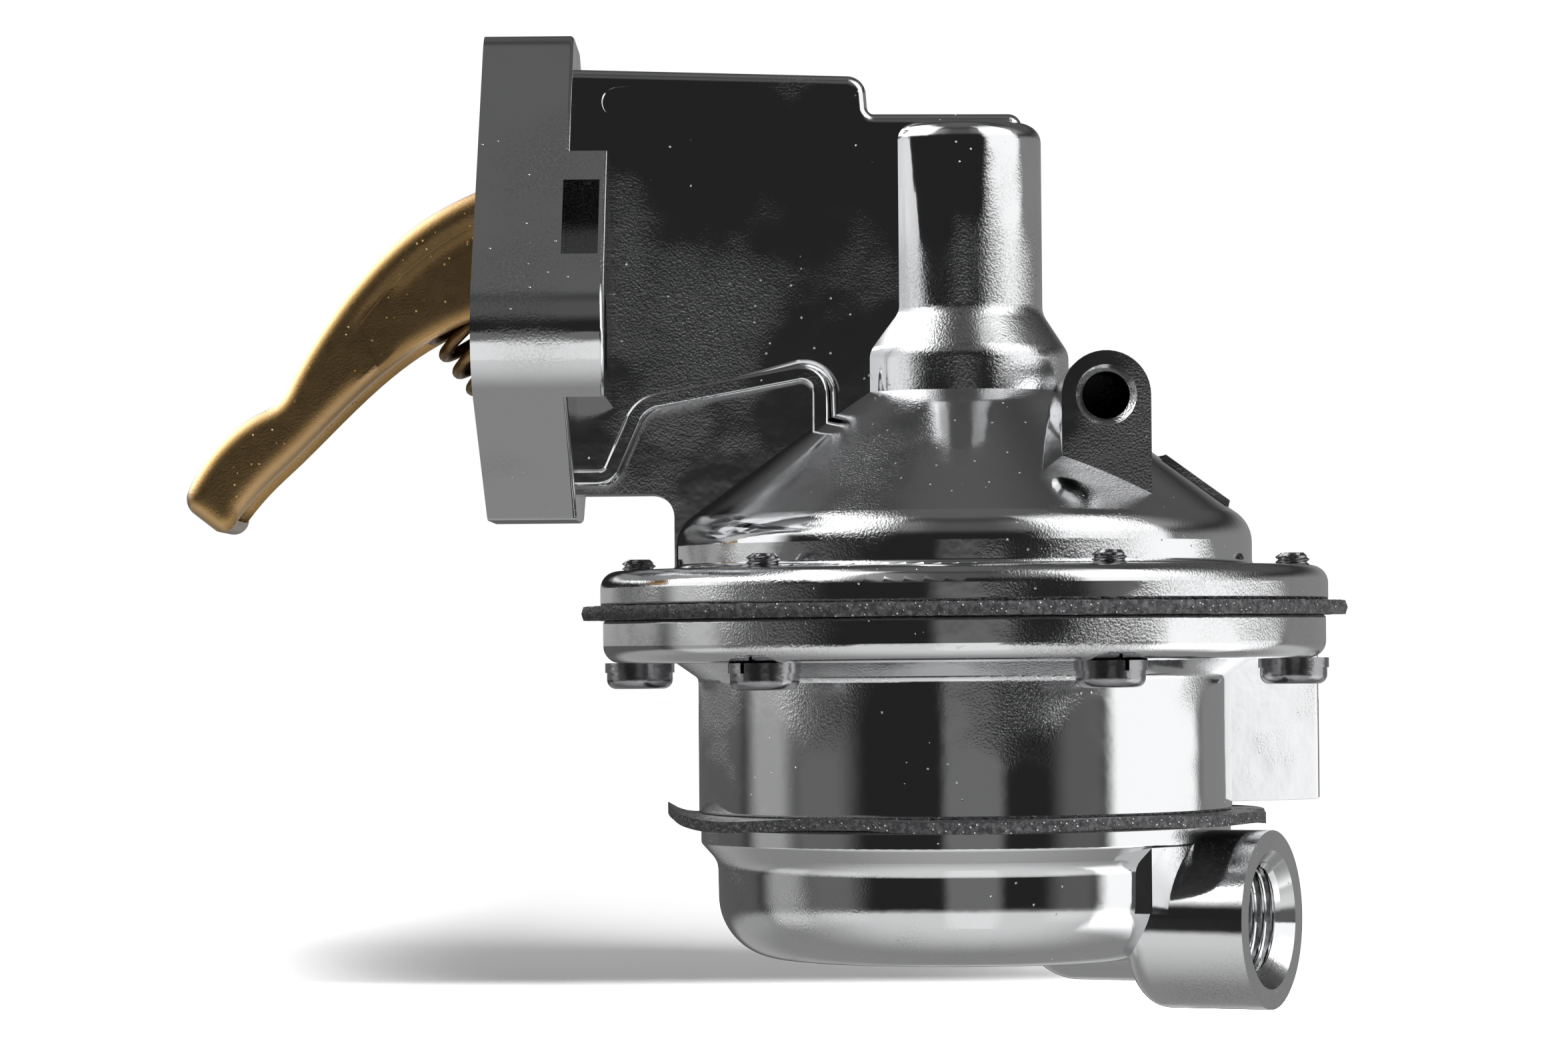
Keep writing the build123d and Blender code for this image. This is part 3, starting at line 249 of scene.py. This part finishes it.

# The lug's hole: bare, rougher metal, and its colour darkened as painted shade.
lug_hole_x, lug_hole_z, lug_hole_r = 83.84 * MM, -7.9 * MM, 3.22 * MM
across_x = chrome_x - lug_hole_x
across_z = chrome_z - lug_hole_z
from_hole = calculate(chrome.tree, "SQRT", across_x * across_x + across_z * across_z)
bare_and_shaded_hole = from_hole.step(lug_hole_r + 0.08 * MM, lug_hole_r) * chrome_y.step(-24.6 * MM, -23 * MM)

# The recess in the flange's rim: its colour darkened as painted shade.
recess_x = (11.6 * MM, 16.4 * MM)
recess_z = (10.4 * MM, 21 * MM)
edge = 0.1 * MM
below_facet = 38.03 * MM - abs(chrome_y) * 0.757 - chrome_z * 0.653
painted_recess_shade = chrome_x.band(*recess_x, edge) * chrome_z.band(*recess_z, edge)
painted_recess_shade = painted_recess_shade * below_facet.step(0.2 * MM, 0.6 * MM)

# Colour: darker in grainy patches, which is the plating's own tone, and darker in the hole and the recess,
# which is painted shade.
tone_and_painted_shade = (0.78 - bare_and_shaded_hole * 0.72) * (1 - painted_recess_shade * 0.62) - grain.step(0.35, 0.75) * grainy * 0.22
chrome.set("Base Color", tone_and_painted_shade.ramp((0.0, (0, 0, 0)), (1.0, (0.985, 0.99, 1.0))))
chrome.set("Roughness", grainy * 0.07 + chrome.noise(260, 2) * 0.06 + bare_and_shaded_hole * 0.5 + 0.04)
chrome.bump(grain * grainy * 0.6 + ripple * 0.3 - pits, 0.1 * MM)
print("chrome nodes:", len(chrome.tree.nodes))

# %% [markdown]
# ## Bronze plating of the arm
# The arm is a steel channel, bent from thick sheet and plated in a bronze colour. Its bends are wide,
# so a soft band of light runs along its back. Bevelling the model that far would change its solids. So
# a Bevel node rounds only the shading. It must not reach the short end of the ridge that is pressed into
# the flank, or that end would show as a square: the ridge's end keeps its true normal.

# %% Bronze
bronze = Finish("arm_bronze", Metallic=1.0, Coat_Weight=1.0, Coat_Roughness=0.25, Coat_IOR=1.6)
bronze_specks = bronze.specks(900, 0.15) * bronze.noise(120, 1).step(0.42, 0.56)
tone = bronze.noise(90, 3) * 0.5 + bronze_specks * 0.6 + 0.15
bronze.set("Base Color", tone.ramp(
    (0.25, (0.52, 0.32, 0.12)), (0.6, (0.66, 0.42, 0.18)), (0.95, (0.95, 0.8, 0.55))))
bronze.set("Roughness", bronze.noise(400, 2) * 0.12 + 0.17)
bronze.bump(bronze.noise(3500, 2) * 0.35 + bronze_specks * 1.6, 0.06 * MM)

arm_x, _, arm_z = split(bronze.place)
from_back = (arm_x - arm_z + 27.2 * MM) * 0.707
from_belly = arm_z - arm_x * 0.85 - 8.7 * MM
ridge_end = arm_x.band(-18 * MM, -12.5 * MM, 1.5 * MM)
ridge_end = ridge_end * from_back.step(3 * MM, 4 * MM) * from_belly.step(1.2 * MM, 2.2 * MM)
bronze.round_edges(2.9 * MM, ridge_end)
print("bronze nodes:", len(bronze.tree.nodes))

# %% [markdown]
# ## Wires, screws and levers
# The arm's spring is darker than the arm, with patches where its coating is thin. The clamp screws are
# blackened, and glossy under the oil. Levers, pins and valves are inside, so plain metals do for them.

# %% Small metals
bronze_wire = Finish("bronze_wire", Metallic=1.0)
thin_coat = bronze_wire.noise(500, 2)
bronze_wire.set("Base Color", thin_coat.ramp((0.3, (0.13, 0.07, 0.03)), (0.8, (0.42, 0.28, 0.14))))
bronze_wire.set("Roughness", bronze_wire.noise(700, 2) * 0.2 + 0.25)

black = Finish("screw_steel", Metallic=1.0, Base_Color=(0.34, 0.34, 0.35, 1), Roughness=0.2)
black.bump(black.noise(900, 3), 0.05 * MM)

steel = Finish("lever_steel", Metallic=1.0, Base_Color=(0.55, 0.55, 0.56, 1))
steel.set("Roughness", steel.noise(300, 3) * 0.2 + 0.22)

wire = Finish("spring_wire", Metallic=1.0, Base_Color=(0.36, 0.36, 0.37, 1), Roughness=0.3)
brass = Finish("valve_brass", Metallic=1.0, Base_Color=(0.72, 0.55, 0.26, 1), Roughness=0.28)
print("small metals:", len((bronze_wire, black, steel, wire, brass)))

# %% [markdown]
# ## Rubber
# The diaphragm and the gasket are woven cloth soaked in rubber. Where they are cut, the ends of the
# threads stand out pale in the dark rubber. Dots of the size of a thread give these ends, and a rough
# noise breaks them up. The seals are plain moulded rubber.

# %% Rubber
sheet = Finish("sheet_rubber")
weave = sheet.specks(1300, 0.3)
threads = weave * 0.5 + sheet.noise(1400, 3, roughness=0.7) * 0.7
sheet.set("Base Color", threads.ramp(
    (0.3, (0.03, 0.03, 0.032)), (0.62, (0.19, 0.19, 0.195)), (0.95, (0.78, 0.78, 0.8))))
sheet.set("Roughness", sheet.noise(600, 2) * 0.3 + 0.35)
sheet.bump(weave * 0.8 + sheet.noise(1500, 2), 0.3 * MM)
seal = Finish("seal_rubber", Base_Color=(0.02, 0.02, 0.02, 1), Roughness=0.55)
print("rubber nodes:", len(sheet.tree.nodes))

# %% [markdown]
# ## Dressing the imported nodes
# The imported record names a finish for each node, so the nodes are dressed from that list, and a new
# piece later takes its finish by the same names.

# %% Finishes on the nodes
finishes = {
    "chrome_plate": chrome, "arm_bronze": bronze, "bronze_wire": bronze_wire, "screw_steel": black,
    "lever_steel": steel, "pin_steel": steel, "spring_wire": wire, "valve_brass": brass,
    "seal_rubber": seal, "sheet_rubber": sheet,
}


def dress(piece, slot):
    piece.data.materials.clear()
    piece.data.materials.append(finishes[slot].made)


for part in frame["record"]["subparts"]:
    dress(nodes[part["node"]], part["material_slot"])

# %% [markdown]
# ## From a mesh to a piece
# Each new piece starts as a bmesh. Spin closes its turns only within rounding, and can turn it inside
# out. So one helper merges doubles, turns the faces outwards, smooths the curved parts but keeps sharp
# edges sharp, and hangs the piece on the body that carries it. A ridge that is open at its ends has no
# sure outside for the operator. Its faces agree with each other, so the sign of its volume says which
# way they all point.

# %% Helpers for new pieces
def finished_piece(name, mesh, slot, body="pump_body", sharp_from=40.0, closed=True):
    """Turns a filled bmesh into an object that rides on a body."""
    bmesh.ops.remove_doubles(mesh, verts=mesh.verts, dist=1e-7)
    if closed:
        bmesh.ops.recalc_face_normals(mesh, faces=mesh.faces)
    elif mesh.calc_volume(signed=True) < 0:
        bmesh.ops.reverse_faces(mesh, faces=mesh.faces)
    data = bpy.data.meshes.new(name)
    mesh.to_mesh(data)
    mesh.free()
    data.shade_smooth()
    data.set_sharp_from_angle(angle=math.radians(sharp_from))
    piece = bpy.data.objects.new(name, data)
    scene.collection.objects.link(piece)
    dress(piece, slot)
    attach(piece, body)
    print(name, "has", len(data.polygons), "faces")
    return piece


def closed_row(mesh, corners):
    """Vertices and edges of a closed row of corners, ready to be spun or filled."""
    row = [mesh.verts.new(corner) for corner in corners]
    edges = [mesh.edges.new(pair) for pair in zip(row, row[1:] + row[:1])]
    return row + edges


# %% [markdown]
# ## Springs
# A spring is a round wire that winds about a line. A curve with a thickness could make it, but a spin
# with a rise in each step gives the mesh at once: a filled circle across the wire goes round, and its
# start and end faces stay as the wire's cut ends. The circle leans by the pitch, so that the wire stays
# round. The arm's spring stands askew in the housing, under the arm. The large spring in the tower
# pushes the pull rod down.

# %% Winding a spring
WIRE_SIDES = 12
STEPS_A_TURN = 36


def coil(name, start, out, length, coil_r, wire_r, turns, slot, phase=0.0):
    """A round wire wound about the line from start along out."""
    out = Vector(out).normalized()
    side = out.orthogonal().normalized()
    up = out.cross(side)
    steps = int(turns * STEPS_A_TURN)
    rise = length - 2 * wire_r
    radial = side * math.cos(phase) + up * math.sin(phase)
    forward = out.cross(radial) * coil_r * math.tau * turns + out * rise
    across = radial.cross(forward.normalized())
    turned = Matrix((radial, across, radial.cross(across))).transposed().to_4x4()
    middle = Vector(start) + radial * coil_r + out * wire_r
    mesh = bmesh.new()
    bmesh.ops.create_circle(mesh, cap_ends=True, segments=WIRE_SIDES, radius=wire_r,
                            matrix=Matrix.Translation(middle) @ turned)
    bmesh.ops.spin(mesh, geom=[*mesh.verts, *mesh.edges, *mesh.faces], cent=start, axis=out,
                   dvec=out * rise / steps, angle=math.tau * turns, steps=steps)
    return finished_piece(name, mesh, slot, sharp_from=60)


print("wire sides:", WIRE_SIDES, "steps a turn:", STEPS_A_TURN)

# %% The two large springs
arm_lean = math.radians(52)
arm_out = Vector((-math.cos(arm_lean), 0, math.sin(arm_lean)))
arm_seat = Vector((7.9, 0, -10.9)) * MM
arm_spring = coil("arm_spring_wire", arm_seat + arm_out * 0.15 * MM, arm_out, length=30.5 * MM,
                  coil_r=4.85 * MM, wire_r=0.83 * MM, turns=9.6, slot="bronze_wire", phase=0.4)
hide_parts("arm_return_spring")
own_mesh(arm_spring)

lowest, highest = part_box("diaphragm_spring")
tower_spring = coil("diaphragm_spring_wire", (AXIS_X, 0, lowest[2]), (0, 0, 1), length=highest[2] - lowest[2],
                    coil_r=6.4 * MM, wire_r=1.0 * MM, turns=4.6, slot="spring_wire")
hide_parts("diaphragm_spring")
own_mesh(tower_spring)

# %% [markdown]
# ## Valve springs
# Each valve disc is held on its seat by a small brass spring. An inlet disc lifts upwards and an outlet
# disc downwards, so the end that stays in place is the top one or the bottom one.

# %% The four valve springs
for valve in ("inlet_valve_left", "inlet_valve_right", "outlet_valve_left", "outlet_valve_right"):
    lowest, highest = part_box(valve + "_spring")
    middle = (Vector(lowest) + Vector(highest)) / 2
    small = coil(valve + "_coil", (middle.x, middle.y, lowest[2]), (0, 0, 1), length=highest[2] - lowest[2],
                 coil_r=2.6 * MM, wire_r=0.25 * MM, turns=3.5, slot="valve_brass")
    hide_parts(valve + "_spring")
    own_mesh(small)

# %% [markdown]
# ## Diaphragm
# The diaphragm is one sheet, but it does two things. Its rim is clamped between the castings, and its
# cut edge stands out all round, frayed and a little wavy. Its middle goes up and down with the pull rod.
# So it is made as two turned pieces that meet at the clamp. The rim is turned plain, with three stations
# to a degree, and then each vertex near the edge is moved by a noise that runs round the pump.

# %% Turning and fraying
def turned(profile, steps):
    """A closed profile of (radius, height), turned once round the pump's axis."""
    mesh = bmesh.new()
    row = closed_row(mesh, [at_pump(radius, 0, height) for radius, height in profile])
    bmesh.ops.spin(mesh, geom=row, cent=(AXIS_X, 0, 0), axis=(0, 0, 1), angle=math.tau, steps=steps,
                   use_merge=True)
    return mesh


def around(point, steps):
    """A point's radius, and its azimuth in degrees at the nearest of the turned stations."""
    azimuth = math.degrees(math.atan2(point.y, point.x - AXIS_X))
    station = round(azimuth * steps / 360) % steps
    return math.hypot(point.x - AXIS_X, point.y), station * 360 / steps


def wobble(x, y, z, scale, size):
    return noise.noise(Vector((x, y, z)) * scale) * size


SHEET_TOP, SHEET_BOTTOM = -35.5 * MM, -37.5 * MM
SHEET_MIDDLE = (SHEET_TOP + SHEET_BOTTOM) / 2
CLAMP_R = 36.9 * MM
RIM_STEPS = 1080
print("sheet", round((SHEET_TOP - SHEET_BOTTOM) / MM, 1), "mm thick")

# %% The frayed rim
worn_top, worn_bottom = SHEET_TOP - 0.1 * MM, SHEET_BOTTOM + 0.1 * MM
rim_profile = [
    (CLAMP_R, SHEET_TOP), (50.0 * MM, SHEET_TOP), (50.6 * MM, worn_top), (52.4 * MM, worn_top),
    (52.7 * MM, SHEET_MIDDLE), (52.4 * MM, worn_bottom), (50.6 * MM, worn_bottom),
    (49.8 * MM, SHEET_BOTTOM), (CLAMP_R, SHEET_BOTTOM),
]
mesh = turned(rim_profile, RIM_STEPS)
for vertex in mesh.verts:
    radius, azimuth = around(vertex.co, RIM_STEPS)
    if radius < 50.3 * MM:
        continue
    height = vertex.co.z
    upper = wobble(azimuth, 5, 0, 0.5, 0.16 * MM)
    lower = wobble(azimuth, 9, 0, 0.6, 0.16 * MM)
    if abs(height - SHEET_MIDDLE) < 0.1 * MM:
        height += (upper + lower) / 2
    else:
        height += upper if height > SHEET_MIDDLE else lower
    if radius > 52 * MM:
        turn = math.radians(azimuth)
        radius += wobble(math.cos(turn), math.sin(turn), 0, 9, 0.35 * MM)
        radius += wobble(azimuth, 0, 3, 0.9, 0.4 * MM)
    vertex.co = at_pump(radius, azimuth, height)
finished_piece("diaphragm_rim", mesh, "sheet_rubber", sharp_from=50)

# %% The moving middle
middle_top = SHEET_TOP - 5.4 * MM
middle_profile = [
    (2.6 * MM, middle_top), (26.5 * MM, middle_top), (28.5 * MM, middle_top + 0.6 * MM),
    (34.5 * MM, SHEET_TOP - 0.5 * MM), (CLAMP_R, SHEET_TOP), (CLAMP_R, SHEET_BOTTOM),
    (34.5 * MM, SHEET_BOTTOM - 0.5 * MM), (28.5 * MM, middle_top - 1.4 * MM),
    (26.5 * MM, middle_top - 2 * MM), (2.6 * MM, middle_top - 2 * MM),
]
middle_sheet = finished_piece("diaphragm_middle", turned(middle_profile, 120), "sheet_rubber", sharp_from=50)
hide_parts("diaphragm")
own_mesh(middle_sheet)

# %% [markdown]
# ## Gasket
# The gasket under the valve body is cut wider than the cap that holds it, so its free edge sags, waves
# and curls up on the left. Inside, it is open to both chambers, and a rib between them carries the eye of
# the cap bolt. The edge is a turned ring whose vertices are moved, more towards the outside. The rib
# is a flat plate with a hole: its outline and the hole are filled as one face and extruded.

# %% The free edge
bottom, top = (corner[2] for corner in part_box("cap_gasket"))
window_r, clamped_r, outer_r = 31.3 * MM, 36.6 * MM, 41.4 * MM
free_edge = outer_r - clamped_r
EDGE_STEPS = 360
radii = [window_r, clamped_r, 38.2 * MM, 39.8 * MM, outer_r]
mesh = turned([(r, top) for r in radii] + [(r, bottom) for r in reversed(radii)], EDGE_STEPS)
for vertex in mesh.verts:
    radius, azimuth = around(vertex.co, EDGE_STEPS)
    if radius > 41 * MM:
        radius += wobble(azimuth * 0.03, 2, 0, 1.0, 0.6 * MM)
    lift = max(0.0, (radius - clamped_r) / free_edge)
    sag = wobble(azimuth * 0.035, 7, 0, 1.0, 0.7 * MM) - 0.1 * MM
    curl = max(0.0, math.cos(math.radians(azimuth - 183))) ** 40 * 1.6 * MM
    vertex.co = at_pump(radius, azimuth, vertex.co.z + lift * sag + lift * lift * curl)
print("gasket is", round((top - bottom) / MM, 2), "mm thick")


# %% The rib with its eye
def arc(radius, start, end, steps):
    turns = [math.radians(start + (end - start) * i / steps) for i in range(steps + 1)]
    return [(AXIS_X + radius * math.cos(turn), radius * math.sin(turn), bottom) for turn in turns]


half_rib, eye_r, bolt_r = 3.0 * MM, 8.4 * MM, 3.3 * MM
rib_end = math.degrees(math.asin(half_rib / window_r))
eye_end = math.degrees(math.asin(half_rib / eye_r))
outline = arc(window_r, -rib_end, 180 + rib_end, 90) + arc(eye_r, 180 + eye_end, 360 - eye_end, 24)
rows = closed_row(mesh, outline) + closed_row(mesh, arc(bolt_r, 0, 345, 23))
edges = [item for item in rows if isinstance(item, bmesh.types.BMEdge)]
filled = bmesh.ops.triangle_fill(mesh, edges=edges, use_beauty=True)["geom"]
faces = [item for item in filled if isinstance(item, bmesh.types.BMFace)]
grown = bmesh.ops.extrude_face_region(mesh, geom=faces)["geom"]
raised = [item for item in grown if isinstance(item, bmesh.types.BMVert)]
bmesh.ops.translate(mesh, vec=(0, 0, top - bottom), verts=raised)
gasket = finished_piece("wavy_gasket", mesh, "sheet_rubber", sharp_from=50)
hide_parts("cap_gasket")

# %% [markdown]
# ## Threads
# Both ports have a pipe thread, and the ends of the six clamp screws stand out above the upper flange.
# In the model they are plain cylinders. A thread is a ridge that winds round such a cylinder, so its
# four-cornered section is spun with a rise, as the springs are. The section's foot lies a little inside
# the metal. A real ridge runs out at both ends, so the tips of the first and last stations are drawn
# back to the foot by degrees. So a ridge ends in a line inside the metal and needs no end faces.

# %% Cutting a thread
THREAD_STEPS = 40
RUN_OUT = 12


def thread_ridge(mesh, place, out, length, foot_r, tip_r, pitch):
    """One ridge that winds about the line from place along out."""
    side = out.orthogonal().normalized()
    steps = int(length / pitch * THREAD_STEPS)
    section = [(foot_r, -0.47), (tip_r, -0.06), (tip_r, 0.06), (foot_r, 0.47)]
    first = len(mesh.verts)
    row = closed_row(mesh, [place + side * radius + out * turn * pitch for radius, turn in section])
    bmesh.ops.spin(mesh, geom=row, cent=place, axis=out, dvec=out * pitch / THREAD_STEPS,
                   angle=math.tau * steps / THREAD_STEPS, steps=steps)
    for number, vertex in enumerate(list(mesh.verts)[first:]):
        station = number // len(section)
        fade = min(1, station / RUN_OUT, (steps - station) / RUN_OUT)
        arm = vertex.co - place
        radial = arm - out * arm.dot(out)
        if abs(radial.length - tip_r) < 0.01 * MM:
            vertex.co += radial.normalized() * (foot_r - tip_r) * (1 - fade)


def screw_thread(name, places, out, length, root_r, tip_r, pitch, slot):
    """Ridges on cylinders of radius root_r, one at each place."""
    buried = math.copysign(0.05 * MM, tip_r - root_r)
    mesh = bmesh.new()
    for place in places:
        thread_ridge(mesh, place, out, length, root_r - buried, tip_r, pitch)
    finished_piece(name, mesh, slot, sharp_from=30, closed=False)


print("thread steps a turn:", THREAD_STEPS)

# %% Port threads and screw ends
pipe = {"root_r": 7.65 * MM, "tip_r": 7.0 * MM, "pitch": 1.41 * MM, "slot": "chrome_plate"}
for name, azimuth, radius, height, length in (
    ("inlet_thread", -25.2, 31.5 * MM, -78.7 * MM, 11.8 * MM),
    ("outlet_thread", 30.0, 38.6 * MM, -53.9 * MM, 12.0 * MM),
):
    port_out = at_pump(1, azimuth, 0) - at_pump(0, 0, 0)
    screw_thread(name, [at_pump(radius, azimuth, height)], port_out.normalized(), length, **pipe)

screw_places = [at_pump(45.5 * MM, -67.2 + 60 * number, -31.2 * MM) for number in range(6)]
screw_thread("screw_ends", screw_places, Vector((0, 0, 1)), 1.9 * MM, root_r=1.98 * MM, tip_r=2.35 * MM,
             pitch=0.7 * MM, slot="screw_steel")

# %% [markdown]
# ## The studio's panels
# Polished chrome shows little of itself: it shows the room. So the room is drawn first, as panels of
# light on a dark surround, and the places of the panels are read off the bright bands on the pump. A
# direction is given in degrees: its azimuth is 0 behind the camera's back, grows to the right, and its
# elevation is 0 at the horizon. The camera sees only white. Mirror-like pieces see the panels, and all
# other light is weak and even.

# %% Directions in the room
world = bpy.data.worlds.new("studio")
scene.world = world
world.use_nodes = True
room = world.node_tree
direction = Value(room, add_node(room, "ShaderNodeTexCoord").outputs["Generated"])
room_x, room_y, room_z = split(direction)
TO_DEGREES = 180 / math.pi
azimuth = calculate(room, "ARCTAN2", room_x, room_y * -1) * TO_DEGREES
elevation = calculate(room, "ARCSINE", room_z) * TO_DEGREES
over = elevation.step(1.0, 3.0)
under = 1 - over
rim_height = elevation.step(-0.8, 0.2)
leaning = azimuth + (elevation * 4).between(-2, 26)
tall = elevation.band(-40, 66, 10)
waist_high = elevation.band(-30, 14, 8)
print("room directions:", len(room.nodes), "nodes")

# %% Panels of light
right_box = leaning.band(61, 114, 4) * tall * 1.2
right_wall = leaning.step(110, 122) * 0.24 + azimuth.band(38, 60, 6) * under * 0.1
left_box = azimuth.band(-118, -79, 6) * over * tall * 1.2
left_foot = azimuth.band(-107, -84, 6) * (rim_height * 0.2 + 0.36) + azimuth.band(-82, -52, 8) * 0.13
left_wall = azimuth.step(-106, -120) * (rim_height * 0.28 + 0.09)
left_sky = azimuth.band(-128, -46, 9) * elevation.band(22, 66, 8) * 2.2
far_sky = azimuth.band(-158, -106, 8) * elevation.band(14, 46, 6) * 2.6
slit = azimuth.band(-11, 14, 3) * elevation.band(-45, 1, 1) * 0.155
ceiling = elevation.band(24, 56, 9) * (abs(azimuth).band(30, 100, 20) * 0.35 + 0.08)
table = elevation.step(-10, -18) * (room_y.step(0.3, -0.8) * 0.48 + 0.26)
zenith = elevation.step(50, 78) * 0.11
surround = 0.02
walls = right_wall + (left_foot + left_wall) * under
boxes = right_box + left_box + left_sky + far_sky + slit
panels = boxes + walls * waist_high + ceiling + table + zenith + surround
print("panel nodes:", len(room.nodes))

# %% What each ray sees
path = add_node(room, "ShaderNodeLightPath")
camera_ray = Value(room, path.outputs["Is Camera Ray"])
glossy_ray = Value(room, path.outputs["Is Glossy Ray"])
other_ray = 1 - (camera_ray + glossy_ray)
even_light = 0.1
strength = camera_ray + glossy_ray * panels + other_ray * even_light
background = room.nodes["Background"]
background.inputs["Color"].default_value = (1, 1, 1, 1)
room.links.new(strength.socket, background.inputs["Strength"])
print("studio nodes:", len(room.nodes))

# %% [markdown]
# ## Floor and lamp
# The pump stands in front of plain white, with only a soft shadow to the left. A shadow catcher gives
# this: it shows nothing but the shadow. Its alpha fades to nothing towards the front and the left, where
# the shadow should end. One round lamp, to the right of the camera, throws the shadow. Its light is
# about what a white sheet needs to look white. Mirror-like pieces don't see the lamp, only the panels.

# %% Shadow catcher
floor_x, floor_y, floor_z = 50 * MM, 600 * MM, -91.2 * MM
paper = Finish("floor_paper", Base_Color=(0.9, 0.9, 0.9, 1), Roughness=0.9)
along_x, along_y, _ = split(paper.place)
from_front = along_y.step(16 * MM - floor_y, 66 * MM - floor_y)
from_left = along_x.step(-125 * MM - floor_x, -5 * MM - floor_x)
paper.set("Alpha", from_front * from_left)
mesh = bmesh.new()
bmesh.ops.create_grid(mesh, x_segments=1, y_segments=1, size=3.0)
data = bpy.data.meshes.new("floor")
mesh.to_mesh(data)
mesh.free()
data.materials.append(paper.made)
floor = bpy.data.objects.new("floor", data)
floor.location = (floor_x, floor_y, floor_z)
floor.is_shadow_catcher = True
floor.visible_glossy = False
scene.collection.objects.link(floor)
floor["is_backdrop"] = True
print("floor at", round(floor_z / MM, 1), "mm")

# %% Lamp
key_data = bpy.data.lights.new("key", "AREA")
key_data.shape = "DISK"
key_data.size = 0.42
key_data.energy = 9
key = bpy.data.objects.new("key", key_data)
key.location = (0.47, -0.71, 0.27)
aim = Vector((0.05, 0, -0.03)) - key.location
key.rotation_euler = aim.to_track_quat("-Z", "Y").to_euler()
key.visible_glossy = False
key.visible_camera = False
scene.collection.objects.link(key)
key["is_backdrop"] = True
print("lamp", round(aim.length, 2), "m away")

# %% [markdown]
# ## Camera
# The camera stands about 0.7 m away, level with the pump's middle, and sees it with a long lens, so the
# round flanges show as thin ellipses. A small upward pitch and half a degree of roll bring the pump's
# outline to where it stands in the photograph. The two turns are multiplied in that order: pitch, roll.

# %% Camera
camera_data = bpy.data.cameras.new("camera")
camera_data.sensor_width = 36
camera_data.lens = 115.8
camera = bpy.data.objects.new("camera", camera_data)
eye = Matrix.Translation((0.0405, -0.700, -0.0410))
pitch, roll = math.radians(1.387), math.radians(0.5)
level_view = math.radians(90)
camera.matrix_world = eye @ Matrix.Rotation(level_view + pitch, 4, "X") @ Matrix.Rotation(-roll, 4, "Z")
scene.collection.objects.link(camera)
scene.camera = camera
print("camera at", [round(part, 3) for part in camera.matrix_world.translation])

# %% [markdown]
# ## View and size
# The view is Standard, so that a colour is shown as it is written. Last come two boxes, which are
# printed: that of the imported model, kept from the start, and that of the dressed one.

# %% The view and the two boxes
scene.view_settings.view_transform = "Standard"

dressed_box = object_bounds()
for label, box in (("packed", packed_box), ("dressed", dressed_box)):
    print(label, "box:", [[round(part / MM, 1) for part in corner] for corner in box], "mm")
